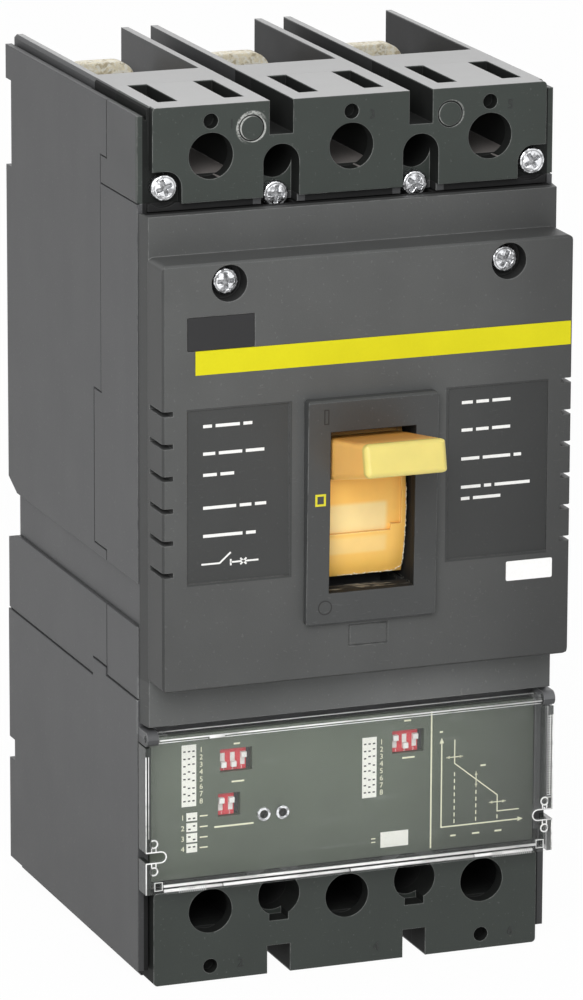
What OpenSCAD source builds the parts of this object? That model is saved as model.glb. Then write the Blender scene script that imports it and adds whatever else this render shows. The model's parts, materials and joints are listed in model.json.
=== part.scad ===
// Three-pole molded case circuit breaker with an electronic trip unit, handle in its upper place.
// Origin: centre of the four mounting screws, on the back plane. +X right, -Y to the front, +Z up.
// Depths are measured forwards from the back plane, heights upwards from the bottom edge.

/* [Case] */
// Width of the case
case_w = 104.4; // [104:0.2:106]
// Height of the case
case_h = 213.6; // [212:0.2:225]
// Depth of the side walls, from the back plane to their front edge
side_d = 96.3; // [95.5:0.1:98]
// Distance between neighbouring poles
pole_pitch = 35; // [34.5:0.1:35.5]
// Gap at the seams round the front cover
seam_gap = 0.4; // [0.3:0.05:0.6]
// Width of the grooves along the case's partings
groove_line = 0.4; // [0.2:0.05:0.5]
// Depth of the grooves along the case's partings
groove_line_l = 0.5; // [0.3:0.05:0.8]

/* [Case seams] */
// Depth of the base where the terminal cover's top meets it
seam_top_d = 70.5; // [69:0.1:72]
// Depth of the base below the upper seam step
seam_low_d = 65.3; // [64:0.1:67]
// Drop of the seam step from the top edge
seam_step_drop = 73.6; // [65:0.2:80]
// How far the base's side tongues reach past the upper seam
tongue_l = 4.5; // [3:0.1:6]
// Drop of the side tongues from the top edge
tongue_drop = 16.1; // [12:0.1:18]
// Thickness of the side tongues
tongue_t = 3; // [2:0.1:3.4]
// Height of the recessed band's lower edge
band_z = 88.7; // [87:0.1:91]
// Height of the recessed band
band_h = 10.8; // [9:0.1:12]
// Height of the base's lip above the band
lip_h = 2.5; // [1.5:0.1:4]
// How far the band is set in from the sides
band_inset = 0.8; // [0.5:0.1:1.5]
// How far the band is set in from the back plane
band_back = 6.5; // [4:0.1:9]
// Height of the slope from the back plane into the band
band_slope = 3; // [2:0.1:4]
// Height of the slope below the band
band_slope_low = 1.8; // [1:0.1:3]
// Depth of the lower body's seam
lower_seam_d = 74; // [72:0.1:76]

/* [Terminal blocks] */
// How far a terminal block's face stands in front of the side walls
block_rise = 2.8; // [2:0.1:3.4]
// Height of the upper terminal cover
upper_block_h = 22.9; // [21:0.1:24]
// Height of the lower terminal cover
lower_block_h = 23.2; // [22:0.1:23.5]
// How far the raised faces are set in from the sides
block_side = 2.8; // [2.6:0.1:3.2]
// Corner radius of the raised faces
block_r = 1; // [0.5:0.1:1.5]
// Depth of the lower terminal cover's back
load_back_d = 90; // [88:0.1:91]
// Drop of the side walls' upper edge beside the bead
edge_drop = 2.2; // [1:0.1:2.5]
// Width of that lower edge
edge_w = 1.6; // [1:0.1:2]
// Width of the groove between the edge and the bead
groove_w = 0.7; // [0.4:0.1:1]
// Drop of the groove's floor
groove_drop = 3.2; // [2.6:0.1:4]
// Height of the steps along the lower edges of the sides
edge_step = 3.4; // [2:0.1:4]
// Diameter of the access bores in front of the terminals
access_d = 11; // [9:0.5:12]
// Distance of the lower access bores from the bottom edge
access_low = 17.5; // [17:0.1:18]
// Distance of the upper access bores from the top edge
access_top = 12.1; // [11.6:0.1:13]
// Diameter of the small gauge holes
gauge_d = 3.6; // [2:0.1:4]
// Distance of the upper gauge holes from the top edge
gauge_top = 3.9; // [3.4:0.1:4.2]
// Distance of the lower gauge holes from the bottom edge
gauge_low = 3.6; // [3.4:0.1:4]
// Depth of the small gauge holes
gauge_l = 3.2; // [2:0.1:3.6]
// Thickness of the front wall that the access bores pass
access_wall = 3.8; // [3.4:0.1:5]
// Width of the key chambers behind the access bores
chamber_w = 14; // [12.5:0.1:14.5]
// Height of the key chambers above and below the bores' axes
chamber_half = 4.8; // [4:0.1:4.8]
// Width of the slots between the poles
slot_w = 5.9; // [5:0.1:7]
// Height of the upper slots between the poles
slot_top = 8.1; // [6:0.1:8.5]
// Height of the lower slots between the poles
slot_low = 7; // [5:0.1:7.5]
// Thickness of the barrier walls beside the slots
barrier_t = 1.8; // [1.5:0.1:2.5]
// Depth of the open terminal bays, from the back plane
bay_d = 55.8; // [50:0.1:58]
// Height of the open terminal bays
bay_h = 28; // [26:0.5:32]
// Width of the pockets for terminal shields
pocket_w = 4.9; // [4.5:0.1:5.5]
// Length of the pockets for terminal shields
pocket_l = 21.6; // [18:0.1:21.8]
// Distance of a pocket's centre from its pole's centre
pocket_x = 8.2; // [7.6:0.1:8.6]
// Distance of the pockets from the block's face
pocket_front = 6.7; // [5:0.1:7]
// Depth of the pockets below the top edge
pocket_h = 6; // [4.5:0.1:6.4]
// Diameter of the round marks beside the upper slots
plug_mark_d = 6.4; // [5:0.1:7]
// Distance of the round marks from the centre
plug_mark_x = 24.9; // [24.5:0.1:25.5]
// Distance of the round marks from the top edge
plug_mark_drop = 6.2; // [5:0.1:7]
// Width of the groove round a mark
plug_mark_w = 0.35; // [0.2:0.05:0.5]
// How far the lip below the upper block stands in front of the side walls
lip_rise = 1.2; // [0.6:0.1:1.6]
// Width of the lip below the upper block
lip_w = 100; // [98:0.5:101]
// How much wider than the screw wells the lip is cut
corner_wall = 0.8; // [0.4:0.1:1]

/* [Mounting] */
// Distance of the lower mounting screws from the bottom edge
mount_low = 19.7; // [19.2:0.1:20]
// Distance of the upper mounting screws from the top edge
mount_top = 14.9; // [14.6:0.1:15.6]
// Diameter of the mounting holes
mount_hole_d = 5; // [4:0.1:5.5]
// Diameter of the upper screw wells
well_top_d = 9; // [8.5:0.1:9.5]
// Diameter of the lower screw wells
well_low_d = 10.6; // [9:0.1:11]
// Thickness of the case behind the screw wells
well_floor = 20; // [10:1:30]
// Depth of the channels below the upper screw wells
channel_l = 5.5; // [5:0.1:6.5]
// Width of the notches below the lower screw wells
notch_w = 4.9; // [4.2:0.1:6]
// Height of the notches' lower edge
notch_z = 13.2; // [12.5:0.1:13.6]
// Depth of the notches from the block's face
notch_l = 5; // [3:0.5:8]
// Depth of the steps in the side walls' back edges
back_step = 4; // [2:0.1:6]
// Width of the steps in the side walls' back edges
back_step_w = 6; // [4:0.1:8]
// Drop of the upper back steps from the top edge
back_step_drop = 10.6; // [8:0.1:14]
// Height of the upper back steps
back_step_h = 21.5; // [15:0.5:28]
// Height of the lower back steps' lower edge
back_step_z = 29.5; // [26:0.5:34]
// Height of the lower back steps
back_step_low_h = 5.5; // [3:0.5:9]

/* [Front cover] */
// Depth of the front cover's back, inside the case
cover_back_d = 92; // [91:0.1:93]
// Depth of the front cover's shoulder
shoulder_d = 101.4; // [100.8:0.1:103]
// Height of the shoulder's lower edge
shoulder_z = 65.4; // [65.2:0.1:66]
// How far the shoulder's sides draw in towards its front
shoulder_draft = 0.7; // [0.3:0.1:1]
// Distance of the shoulder's foot from the case's sides
shoulder_side = 0.2; // [0.1:0.1:0.6]
// Drop of the shoulder's upper edge from the top edge
shoulder_drop = 25.1; // [24.6:0.1:26.6]
// Depth of the raised panel
panel_d = 111.7; // [110.5:0.1:113]
// Height of the shoulder below the raised panel
panel_low = 11.1; // [10:0.1:12]
// Height of the shoulder above the raised panel
panel_high = 9.5; // [9:0.1:11]
// How far the raised panel is set in from the sides
panel_side = 0.7; // [0.4:0.1:2]
// Corner radius of the raised panel
panel_r = 1.5; // [0.5:0.1:3]
// Bevel along the raised panel's edges
panel_bevel = 0.5; // [0.4:0.1:1.5]
// Drop of the cover screws from the raised panel's upper edge
screw_drop = 5.1; // [4.9:0.1:7]
// Diameter of the wells round the cover screws
screw_well_d = 8.8; // [8:0.1:9.5]
// Depth of the wells round the cover screws
screw_well_l = 4.6; // [4:0.1:8]
// Depth of the label recesses
label_l = 0.3; // [0.2:0.05:0.4]
// Width of the label recesses
label_w = 25.4; // [20:0.1:28]
// Height of the label recesses
label_h = 41.6; // [36:0.1:44]
// Distance of a label recess from the raised panel's side
label_side = 6.1; // [4:0.1:7]
// Drop of the label recesses from the raised panel's upper edge
label_drop = 34.8; // [32:0.1:38]
// Width of the nameplate recess
plate_w = 16.7; // [14:0.1:20]
// Height of the nameplate recess
plate_h = 8.1; // [6:0.1:9]
// Distance of the colour strip above the handle's frame
strip_gap = 7.95; // [7:0.05:9]
// Height of the colour strip
strip_h = 5.7; // [4:0.1:7]
// How far the colour strip stands in front of the raised panel
strip_rise = 0.1; // [0.05:0.05:0.2]
// Distance of the colour strip's end from the raised panel's left side
strip_side = 8.1; // [6:0.1:12]
// Number of grip grooves on each side
grip_count = 6; // [4:1:8]
// Distance between the grip grooves
grip_pitch = 7.75; // [7:0.05:8]
// Height of the grip grooves
grip_groove = 1.2; // [0.8:0.1:2]
// Length of the grip grooves across the front
grip_l = 2.6; // [1.5:0.1:4]
// Height of the lowest grip groove above the raised panel's lower edge
grip_low = 28; // [24:0.5:32]

/* [Handle] */
// Drop of the handle's pivot below the middle of the raised panel
handle_drop = 10.45; // [8:0.05:13]
// Width of the handle's window
window_w = 21.4; // [21.2:0.1:23]
// Height of the handle's window
window_h = 39.2; // [37:0.1:40]
// Height of the window's walls above the front cover's back
window_back = 5; // [3:0.5:7]
// Width of the frame round the window
frame_w = 32.7; // [30:0.1:36]
// Height of the frame round the window
frame_h = 54.7; // [50:0.1:58]
// How far the frame's upper edge stands in front of the raised panel
frame_rise = 3; // [2:0.1:3.5]
// How far the frame's lower edge stands in front of the raised panel
frame_low = 1.8; // [1:0.1:2]
// Corner radius of the frame
frame_r = 0.8; // [0.4:0.1:1.5]
// Bevel along the frame's edges
frame_bevel = 0.5; // [0.3:0.1:0.9]
// Width of the plug below the frame
plug_w = 10; // [8:0.1:14]
// Height of the plug below the frame
plug_h = 5.4; // [4:0.1:7]
// Width of the groove round the plug
plug_gap = 0.4; // [0.3:0.05:0.8]
// Distance of the plug from the frame
plug_drop = 0.9; // [0.5:0.1:2]
// Depth of the handle's pivot
pivot_d = 58; // [57:0.1:59]
// Diameter of the pivot pin
pivot_pin_d = 5; // [4:0.1:6]
// Radial clearance of the pivot pin in the handle's hub
pivot_play = 0.05; // [0.02:0.01:0.1]
// Tilt of the handle from straight out, in its upper and lower place
handle_tilt = 12.7; // [11:0.1:13]
// Width of the grip
grip_w = 20.3; // [18:0.1:20.5]
// Distance of the grip's end from the pivot
grip_r = 79.5; // [70:0.5:81]
// Edge radius of the grip's end
grip_edge_r = 1.3; // [0.5:0.1:2.4]
// Radius of the long edges of the grip
grip_side_r = 1.5; // [0.5:0.1:2.4]
// Thickness of the grip at its end
grip_t = 8; // [7:0.1:9]
// Thickness of the grip at its root
grip_root_t = 10.4; // [9:0.1:10.6]
// How far the grip's root is set up from its middle line
grip_root_up = 0.4; // [0:0.1:0.6]
// Outer radius of the curved shield
shield_r = 52; // [51:0.1:52.2]
// Thickness of the curved shield
shield_t = 3; // [2:0.1:3.5]
// Width of the curved shield
shield_w = 20.2; // [17:0.1:20.4]
// Gap between the shield's ends and the front cover
shield_gap = 0.6; // [0.5:0.1:1]
// Gap between the curved shield and the front cover before it
shield_room = 1; // [0.6:0.1:1.4]
// Half of the arc that the shield covers
shield_half = 32.4; // [28:0.1:32.5]
// Depth of the steps on the shield
shield_step = 0.8; // [0.4:0.1:1.2]
// Width of the rim beside the shield's steps
shield_rim = 1.1; // [0.8:0.1:2]
// Half of the arc between the shield's steps
shield_floor = 20; // [18:0.5:22]
// Width of the blocks in the steps' right corners
shield_block_w = 2.6; // [1:0.1:4]
// Arc of the blocks in the steps' right corners
shield_block = 1.6; // [1:0.1:3]
// Width of the handle's arm
arm_w = 6; // [4:0.5:7]
// Thickness of the handle's arm
arm_t = 8; // [5:0.5:9]
// Thickness of the hub round the pivot pin
hub_wall = 3.5; // [2.5:0.1:4]
// Width of the hub
hub_w = 8; // [6:0.5:8.5]
// Length of the pivot pin
pivot_pin_l = 22; // [16:1:30]
// Width of the pocket that the handle's arm swings in
arm_pocket_w = 10; // [9:0.5:12]
// How far the pocket reaches behind the handle's pivot
arm_pocket_l = 9; // [8:0.5:12]
// Half of the height of the pocket that the handle's arm swings in
arm_pocket_half = 16; // [15:0.5:20]

/* [Trip unit] */
// Height of the trip unit's case
trip_h = 68.6; // [68:0.1:69]
// Height of the locking step on the trip unit's side
trip_step_h = 4.4; // [3:0.1:6]
// Length of the locking step on the trip unit's side
trip_step_l = 10; // [6:0.5:14]
// Height of the trip unit's front edge above its back edge
trip_front_rise = 2.4; // [2:0.1:2.8]
// How far the trip unit's sides stand proud
trip_proud = 0.2; // [0.1:0.05:0.4]
// Depth of the recess floor behind the control panel
trip_floor_d = 94.5; // [94:0.1:95]
// Thickness of the control panel
trip_panel_t = 1.8; // [1:0.1:2]
// Height of the control panel
trip_panel_h = 37.2; // [36:0.1:37.4]
// Gap between the control panel and the clear cover's lower wall
panel_gap = 0.2; // [0.1:0.1:0.5]
// Height of the slide switches
dip_h = 5.4; // [5:0.1:6]
// Gap beside each row of slide switches
dip_gap = 1.2; // [0.8:0.1:1.6]
// Distance of the first lever from the end of its slide switch
dip_first = 0.8; // [0.7:0.05:1]
// Width of the levers
lever_w = 1.3; // [1:0.05:1.5]
// Height of the slots that the levers slide in
lever_slot_h = 3.4; // [2.5:0.1:3.6]
// How far the levers stand in front of the slide switches
lever_rise = 1.1; // [0.5:0.1:1.4]
// Depth of the slots that the levers slide in
lever_floor = 0.5; // [0.3:0.05:0.6]
// Play of the slide switches in the control panel
dip_play = 0.15; // [0.1:0.05:0.3]
// Distance between the levers of a slide switch
dip_pitch = 2.54; // [2.4:0.02:2.6]
// Drop of the upper slide switches from the control panel's upper edge
dip_drop = 4.8; // [4:0.1:6]
// Drop of the lower slide switch from the control panel's upper edge
dip_low_drop = 15.8; // [14:0.1:17]
// Distance of the left slide switches from the centre
dip_left = 31.4; // [28:0.1:34]
// How far the lower slide switch stands out from the upper one
dip_shift = 0.5; // [0:0.1:1]
// Distance of the right slide switch from the centre
dip_right = 12.7; // [10:0.1:15]
// Recess of the slide switches behind the control panel's face
dip_recess = 0.9; // [0.5:0.1:1.2]
// Diameter of the test sockets
socket_d = 3.3; // [3:0.1:4]
// Wall of the test sockets
socket_wall = 0.6; // [0.4:0.05:0.8]
// How far the test sockets stand in front of the control panel
socket_rise = 0.8; // [0.3:0.1:1]
// Distance between the test sockets
socket_pitch = 4.8; // [4.4:0.1:6]
// Distance of the test sockets' middle from the centre
socket_x = 18.2; // [17:0.1:20]
// Drop of the test sockets from the control panel's upper edge
socket_drop = 21.7; // [20:0.1:23]
// Height of the clear cover's lower edge
clear_z = 24; // [23.6:0.1:24.4]
// Height of the clear cover
clear_h = 38.8; // [38.4:0.1:39]
// How far the clear cover's face stands in front of the trip unit's
clear_rise = 5.5; // [5.4:0.1:5.9]
// Thickness of the clear cover
clear_t = 1.2; // [0.8:0.1:1.3]
// How far the clear cover's sides stand out from the case's sides
clear_proud = 0.1; // [0:0.1:0.4]
// Distance of the hinge line below the clear cover's upper edge
hinge_drop = 0.2; // [0.1:0.05:0.3]
// Distance of the hinge line behind the clear cover's face
hinge_back = 0.6; // [0.5:0.05:0.8]
// Diameter of the hinge pins
hinge_pin_d = 1.8; // [1.4:0.1:1.8]
// Radial clearance of the hinge pins
hinge_play = 0.05; // [0.02:0.01:0.1]
// Distance of the hinge ears from the case's sides
ear_side = 0; // [0:0.1:0.5]
// Width of the hinge ears
ear_w = 2.9; // [2.6:0.1:3.2]
// Radius of the hinge ears
ear_r = 1.75; // [1.6:0.05:1.8]
// Gap between the clear cover and the hinge ears
ear_gap = 0.35; // [0.3:0.05:0.4]
// Width of the clear cover's tabs that carry the hinge pins
tab_w = 2; // [1.5:0.1:2.5]
// Depth of the clear cover's tabs
tab_l = 3; // [2.6:0.1:4]
// Height of the wire notches in the clear cover's sides
wire_notch_h = 2.4; // [2:0.1:3.5]
// Length of the wire notches in the clear cover's sides
wire_notch_l = 5.1; // [4:0.1:7]
// Height of the wire notches above the clear cover's lower edge
wire_notch_up = 9.2; // [7:0.1:11]
// Diameter of the eyelets above and below the wire notches
eyelet_d = 2.2; // [1.8:0.1:2.6]
// Diameter of the holes in the eyelets
eyelet_hole_d = 1; // [0.6:0.1:1.2]
// Distance of the eyelets from the wire notches' middle
eyelet_up = 3.4; // [3:0.1:4]
// Distance of the eyelets from the clear cover's side
eyelet_side = 1.95; // [1.9:0.05:2.2]
// Width of the square holes in the clear cover's lower corners
corner_hole_w = 1.5; // [1:0.1:2]
// Distance of the square holes from the clear cover's side
corner_hole_side = 3.2; // [2.8:0.1:4]
// Height of the rail along the clear cover's lower edge
rail_h = 2.2; // [1:0.1:2.4]
// How far the rails stand in front of the clear cover
rail_t = 0.5; // [0.3:0.1:0.8]
// Height of the rail along the clear cover's upper edge
rail_top_h = 0.8; // [0.5:0.1:1]

/* [Metal parts] */
// Width of the terminal bars
bar_w = 18; // [16:0.5:21]
// Thickness of the terminal bars
bar_t = 4; // [3:0.1:5]
// Depth of the terminal bars' faces
bar_d = 21; // [19:0.5:24]
// Distance of the terminal bars' ends from the case's edge
bar_edge = 4.2; // [3:0.1:5]
// Corner radius of the terminal bars' ends
bar_r = 5; // [2:0.5:6]
// Diameter of the bolt holes in the terminal bars
bar_hole_d = 9; // [8:0.5:10]
// Diameter of the screw heads
head_d = 6.4; // [5:0.1:6.6]
// Height of the screw heads
head_h = 2.4; // [2:0.1:2.8]
// Length of the screw heads' cross recess
cross_l = 3.4; // [2.5:0.1:4]
// Width of the screw heads' cross recess
cross_w = 0.8; // [0.5:0.1:1]
// Depth of the screw heads' cross recess
cross_deep = 0.8; // [0.5:0.1:1.2]
// Distance of the corner screws from the case's sides
corner_screw_side = 6; // [5.8:0.1:6.4]
// Height of the corner screws above the upper block's lower edge
corner_screw_up = 3.8; // [3.6:0.1:4.2]
// Height of the middle block screws above the shoulder
mid_screw_up = 2; // [1.6:0.1:3.4]
// Radial room round the block screws
screw_room = 0.8; // [0.6:0.1:1]

/* [Hidden] */
$fn = 64;
eps = 0.01;

half_w = case_w / 2;
slot_x = pole_pitch / 2;
bay_w = pole_pitch - slot_w - 2 * barrier_t;
band_top = band_z + band_h;
lip_z = band_top + lip_h;
block_d = side_d + block_rise;
block_half = half_w - block_side;
channel_d = block_d - channel_l;
upper_block_z = case_h - upper_block_h;
mount_z = [mount_low, case_h - mount_top];
access_z = [access_low, case_h - access_top];
origin_z = (mount_z[0] + mount_z[1]) / 2;
recess_w = 2 * (block_half + seam_gap);
trip_front_z = trip_h + trip_front_rise;
trip_step_d = [lower_seam_d - trip_step_l, lower_seam_d];
trip_step_z = trip_h + trip_step_h;
shoulder_top = case_h - shoulder_drop;
panel_z = shoulder_z + panel_low;
panel_top = shoulder_top - panel_high;
panel_half = half_w - panel_side;
handle_z = (panel_z + panel_top) / 2 - handle_drop;
grip_root = shield_r - shield_step - 1;
grip_tip = grip_r - grip_edge_r;
strip_top = handle_z + frame_h / 2 + strip_gap + strip_h;
frame_d = panel_d + frame_rise;
screw_z = panel_top - screw_drop;
corner_screw = [half_w - corner_screw_side, upper_block_z + corner_screw_up];
mid_screw_z = shoulder_top + mid_screw_up;
screw_room_d = head_d + 2 * screw_room;
switch_d = trip_floor_d + trip_panel_t;
switch_top = clear_z + trip_panel_h;
clear_top = clear_z + clear_h;
clear_half = half_w + clear_proud;
clear_d = side_d + clear_rise;
hinge_d = clear_d - hinge_back;
hinge_z = clear_top - hinge_drop;
ear_x = half_w - ear_side - ear_w / 2;

// Moves geometry measured from the bottom edge to the part's own origin
module from_bottom() { translate([0, 0, -origin_z]) children(); }
// A side outline, in depth and height, extruded to a width across X
module across(w) { translate([-w / 2, 0, 0]) rotate([90, 0, 90]) linear_extrude(w) children(); }
// A front outline, in X and height, between two depths
module between(near, far) {
    translate([0, -near, 0]) rotate([90, 0, 0]) linear_extrude(far - near) children();
}
// A box between two depths and two heights, centred on x
module slab(x, w, near, far, low, high) {
    translate([x - w / 2, -far, low]) cube([w, far - near, high - low]);
}
// A cylinder along Y between two depths
module bore(x, z, d, near, far) {
    translate([x, -near, z]) rotate([90, 0, 0]) cylinder(d = d, h = far - near);
}
// A cylinder along X, centred on x
module rod(x, depth, z, d, l) { translate([x - l / 2, -depth, z]) rotate([0, 90, 0]) cylinder(d = d, h = l); }
// A rectangle with round corners, with its centre on the origin
module round_rect(w, h, r) {
    square([w - 2 * r, h], center = true);
    square([w, h - 2 * r], center = true);
    for (x = [-1, 1], z = [-1, 1]) translate([x * (w / 2 - r), z * (h / 2 - r)]) circle(r);
}
// A plate with round corners and bevelled front edges
module bevelled_plate(w, low, high, near, far, r, b) {
    intersection() {
        translate([0, 0, (low + high) / 2]) between(near, far) round_rect(w, high - low, r);
        across(w) polygon([[-near, low], [-near, high], [b - far, high], [-far, high - b],
            [-far, low + b], [b - far, low]]);
        translate([0, 0, low]) linear_extrude(high - low) polygon([[-w / 2, -near], [w / 2, -near],
            [w / 2, b - far], [w / 2 - b, -far], [b - w / 2, -far], [-w / 2, b - far]]);
    }
}
module each_side() { for (s = [-1, 1]) scale([s, 1, 1]) children(); }
module each_pole() { for (i = [-1:1]) translate([i * pole_pitch, 0, 0]) children(); }
module each_slot() { for (s = [-1, 1]) translate([s * slot_x, 0, 0]) children(); }

// Cuts shared by the mouldings that they pass through

// The stepped bead along the top of each side wall
module top_edges() {
    groove = edge_w + groove_w;
    for (s = [-1, 1]) translate([0, 0, case_h]) between(-1, block_d + 1) polygon([for (p = [[-1, 1],
        [-1, -edge_drop], [edge_w, -edge_drop], [edge_w, -groove_drop], [groove, -groove_drop],
        [groove, -groove_w], [groove + groove_w, 0], [groove + groove_w, 1]]) [s * (half_w - p[0]), p[1]]]);
}
module upper_slots() {
    each_slot() slab(0, slot_w, -1, block_d + 1, case_h - slot_top, case_h + 1);
}
module lower_slots() {
    each_slot() slab(0, slot_w, -1, block_d + 1, -1, slot_low);
}
// Round access bores in the front wall, and the square key chambers behind them
module access_ways(z, near) {
    each_pole() {
        bore(0, z, access_d, block_d - access_wall - eps, block_d + 1);
        slab(0, chamber_w, near, block_d - access_wall, z - chamber_half, z + chamber_half);
    }
}
module gauge_holes(x_list, z) {
    for (x = x_list) bore(x, z, gauge_d, block_d - gauge_l, block_d + 1);
}
module mounting_wells(z, d) {
    each_slot() {
        bore(0, z, mount_hole_d, -1, well_floor + 1);
        bore(0, z, d, well_floor, block_d + 1);
    }
}
// The channels below the upper screw wells, where the middle block screws sit
module screw_channels() {
    each_slot() slab(0, well_top_d, channel_d, block_d + 1, shoulder_top - mid_screw_up, mount_z[1]);
}
// The recess that the front cover drops into
module cover_recess() {
    slab(0, recess_w, cover_back_d, side_d + 1, trip_front_z, shoulder_top + seam_gap);
}
// The hollow behind the window where the handle's arm swings
module handle_pocket() {
    slab(0, arm_pocket_w, pivot_d - arm_pocket_l, cover_back_d + 1, handle_z - arm_pocket_half,
        handle_z + arm_pocket_half);
}
// Steps in the side walls' back edges
module back_steps(low, high) {
    each_side() slab(half_w, 2 * back_step_w, -1, back_step, low, high);
}

// The thin grooves along the partings on both sides: from one depth and height to another
seam_z = case_h - seam_step_drop;
tongue_z = case_h - tongue_drop;
side_seams = [
    [seam_top_d + tongue_l, tongue_z, seam_top_d + tongue_l, case_h],
    [seam_top_d, tongue_z, seam_top_d + tongue_l, tongue_z],
    [seam_top_d, seam_z, seam_top_d, tongue_z],
    [seam_low_d, seam_z, seam_top_d, seam_z],
    [seam_low_d, lip_z, seam_low_d, seam_z],
    [seam_low_d, lip_z, lower_seam_d, lip_z],
    [lower_seam_d, band_top, lower_seam_d, lip_z],
    [seam_top_d, upper_block_z, side_d, upper_block_z],
    [lower_seam_d, trip_front_z, lower_seam_d, band_z],
    [0, trip_h, trip_step_d[0], trip_h],
    [trip_step_d[0], trip_h, trip_step_d[0], trip_step_z],
    [trip_step_d[0], trip_step_z, trip_step_d[1], trip_step_z],
    [trip_step_d[1], trip_front_z, trip_step_d[1], trip_step_z],
    [trip_step_d[1], trip_front_z, side_d, trip_front_z]];
module seam_grooves(first, last) {
    half = groove_line / 2;
    wide = 2 * (groove_line_l + trip_proud);
    each_side() for (i = [first:last]) let (seam = side_seams[i]) slab(half_w + trip_proud, wide,
        seam[0] - half, seam[2] + half, seam[1] - half, seam[3] + half);
}

// The rear housing, with open bays round the line terminals
module base_shell() {
    color([0.36, 0.36, 0.37]) from_bottom() difference() {
        union() {
            across(case_w) polygon([[0, band_top + band_slope], [0, case_h], [-seam_top_d, case_h],
                [-seam_top_d, seam_z], [-seam_low_d, seam_z], [-seam_low_d, lip_z],
                [-lower_seam_d, lip_z], [-lower_seam_d, band_top], [-band_back, band_top]]);
            each_side() slab(half_w - tongue_t / 2, tongue_t, seam_top_d - eps, seam_top_d + tongue_l,
                tongue_z, case_h);
        }
        each_pole() slab(0, bay_w, -1, bay_d, case_h - bay_h, case_h + 1);
        upper_slots();
        mounting_wells(mount_z[1], well_top_d);
        access_ways(access_z[1], bay_d - 1);
        back_steps(case_h - back_step_drop - back_step_h, case_h - back_step_drop);
        top_edges();
        seam_grooves(0, 6);
        handle_pocket();
        rod(0, pivot_d, handle_z, pivot_pin_d, pivot_pin_l);
    }
}

// The mid housing between the base and the front cover
module main_cover() {
    color([0.36, 0.36, 0.37]) from_bottom() difference() {
        union() {
            across(case_w) polygon([[-seam_top_d, upper_block_z], [-side_d, upper_block_z],
                [-side_d, band_top], [-lower_seam_d, band_top], [-lower_seam_d, lip_z],
                [-seam_low_d, lip_z], [-seam_low_d, seam_z], [-seam_top_d, seam_z]]);
            slab(0, lip_w, side_d - eps, side_d + lip_rise, shoulder_top + seam_gap, upper_block_z);
        }
        each_side() bore(corner_screw[0], corner_screw[1], screw_room_d + 2 * corner_wall, side_d,
            block_d + 1);
        cover_recess();
        handle_pocket();
        screw_channels();
        seam_grooves(3, 7);
    }
}

// The terminal cover across the top, with access bores, screw wells and shield pockets
module upper_terminal_cover() {
    color([0.25, 0.27, 0.26]) from_bottom() difference() {
        union() {
            slab(0, case_w, seam_top_d, side_d, upper_block_z, case_h);
            translate([0, 0, (upper_block_z + case_h) / 2]) between(side_d - eps, block_d)
                round_rect(2 * block_half, upper_block_h, block_r);
        }
        each_side() slab(half_w - tongue_t / 2, tongue_t + 2 * eps, seam_top_d - 1, seam_top_d + tongue_l,
            tongue_z, case_h + 1);
        top_edges();
        seam_grooves(0, 2);
        seam_grooves(7, 7);
        upper_slots();
        mounting_wells(mount_z[1], well_top_d);
        screw_channels();
        access_ways(access_z[1], seam_top_d - 1);
        gauge_holes([-pole_pitch, 0, pole_pitch], case_h - gauge_top);
        each_pole() each_side() slab(pocket_x, pocket_w, block_d - pocket_front - pocket_l,
            block_d - pocket_front, case_h - pocket_h, case_h + 1);
        each_side() {
            bore(corner_screw[0], corner_screw[1], screw_room_d, side_d, block_d + 1);
            slab(half_w, 2 * corner_screw_side, side_d, block_d + 1, upper_block_z - 1,
                corner_screw[1] + screw_room_d / 2);
            slab(half_w, 2 * corner_screw_side + screw_room_d, side_d, block_d + 1, upper_block_z - 1,
                corner_screw[1]);
            between(block_d - plug_mark_w, block_d + 1) translate([plug_mark_x, case_h - plug_mark_drop])
                difference() {
                    circle(d = plug_mark_d);
                    circle(d = plug_mark_d - 2 * plug_mark_w);
                }
        }
    }
}

// The neck between the breaker and its trip unit
module mid_band() {
    color([0.38, 0.38, 0.39]) from_bottom() difference() {
        slab(0, case_w - 2 * band_inset, band_back, side_d, band_z, band_top);
        cover_recess();
    }
}

// The rear housing below the neck
module lower_base() {
    color([0.36, 0.36, 0.37]) from_bottom() difference() {
        across(case_w) polygon([[0, trip_h], [0, band_z - band_slope_low], [-band_back, band_z],
            [-lower_seam_d, band_z], [-lower_seam_d, trip_h]]);
        slab(0, case_w + 2, trip_step_d[0], trip_step_d[1] + 1, trip_h - 1, trip_step_z);
        seam_grooves(8, 12);
    }
}

// The mid housing below the neck
module lower_cover() {
    color([0.36, 0.36, 0.37]) from_bottom() difference() {
        slab(0, case_w, lower_seam_d, side_d, trip_front_z, band_z);
        cover_recess();
        seam_grooves(8, 13);
    }
}

// The trip unit's case, with the load terminals' bays at the bottom
module trip_housing() {
    w = case_w + 2 * trip_proud;
    color([0.35, 0.36, 0.36]) from_bottom() difference() {
        across(w) polygon([[0, 0], [0, trip_h], [-trip_step_d[0], trip_h],
            [-trip_step_d[0], trip_step_z], [-trip_step_d[1], trip_step_z],
            [-trip_step_d[1], trip_front_z], [-side_d, trip_front_z], [-side_d, 0]]);
        slab(0, recess_w, trip_floor_d, side_d + 1, lower_block_h, shoulder_z - seam_gap);
        slab(0, recess_w, load_back_d, side_d + 1, -1, lower_block_h + eps);
        each_pole() slab(0, bay_w, -1, bay_d, -1, bay_h);
        lower_slots();
        mounting_wells(mount_z[0], well_low_d);
        access_ways(access_z[0], bay_d - 1);
        back_steps(back_step_z, back_step_z + back_step_low_h);
        each_side() slab(half_w, 2 * block_side, -1, side_d + 1, -1, edge_step);
        seam_grooves(9, 13);
    }
}

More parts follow.
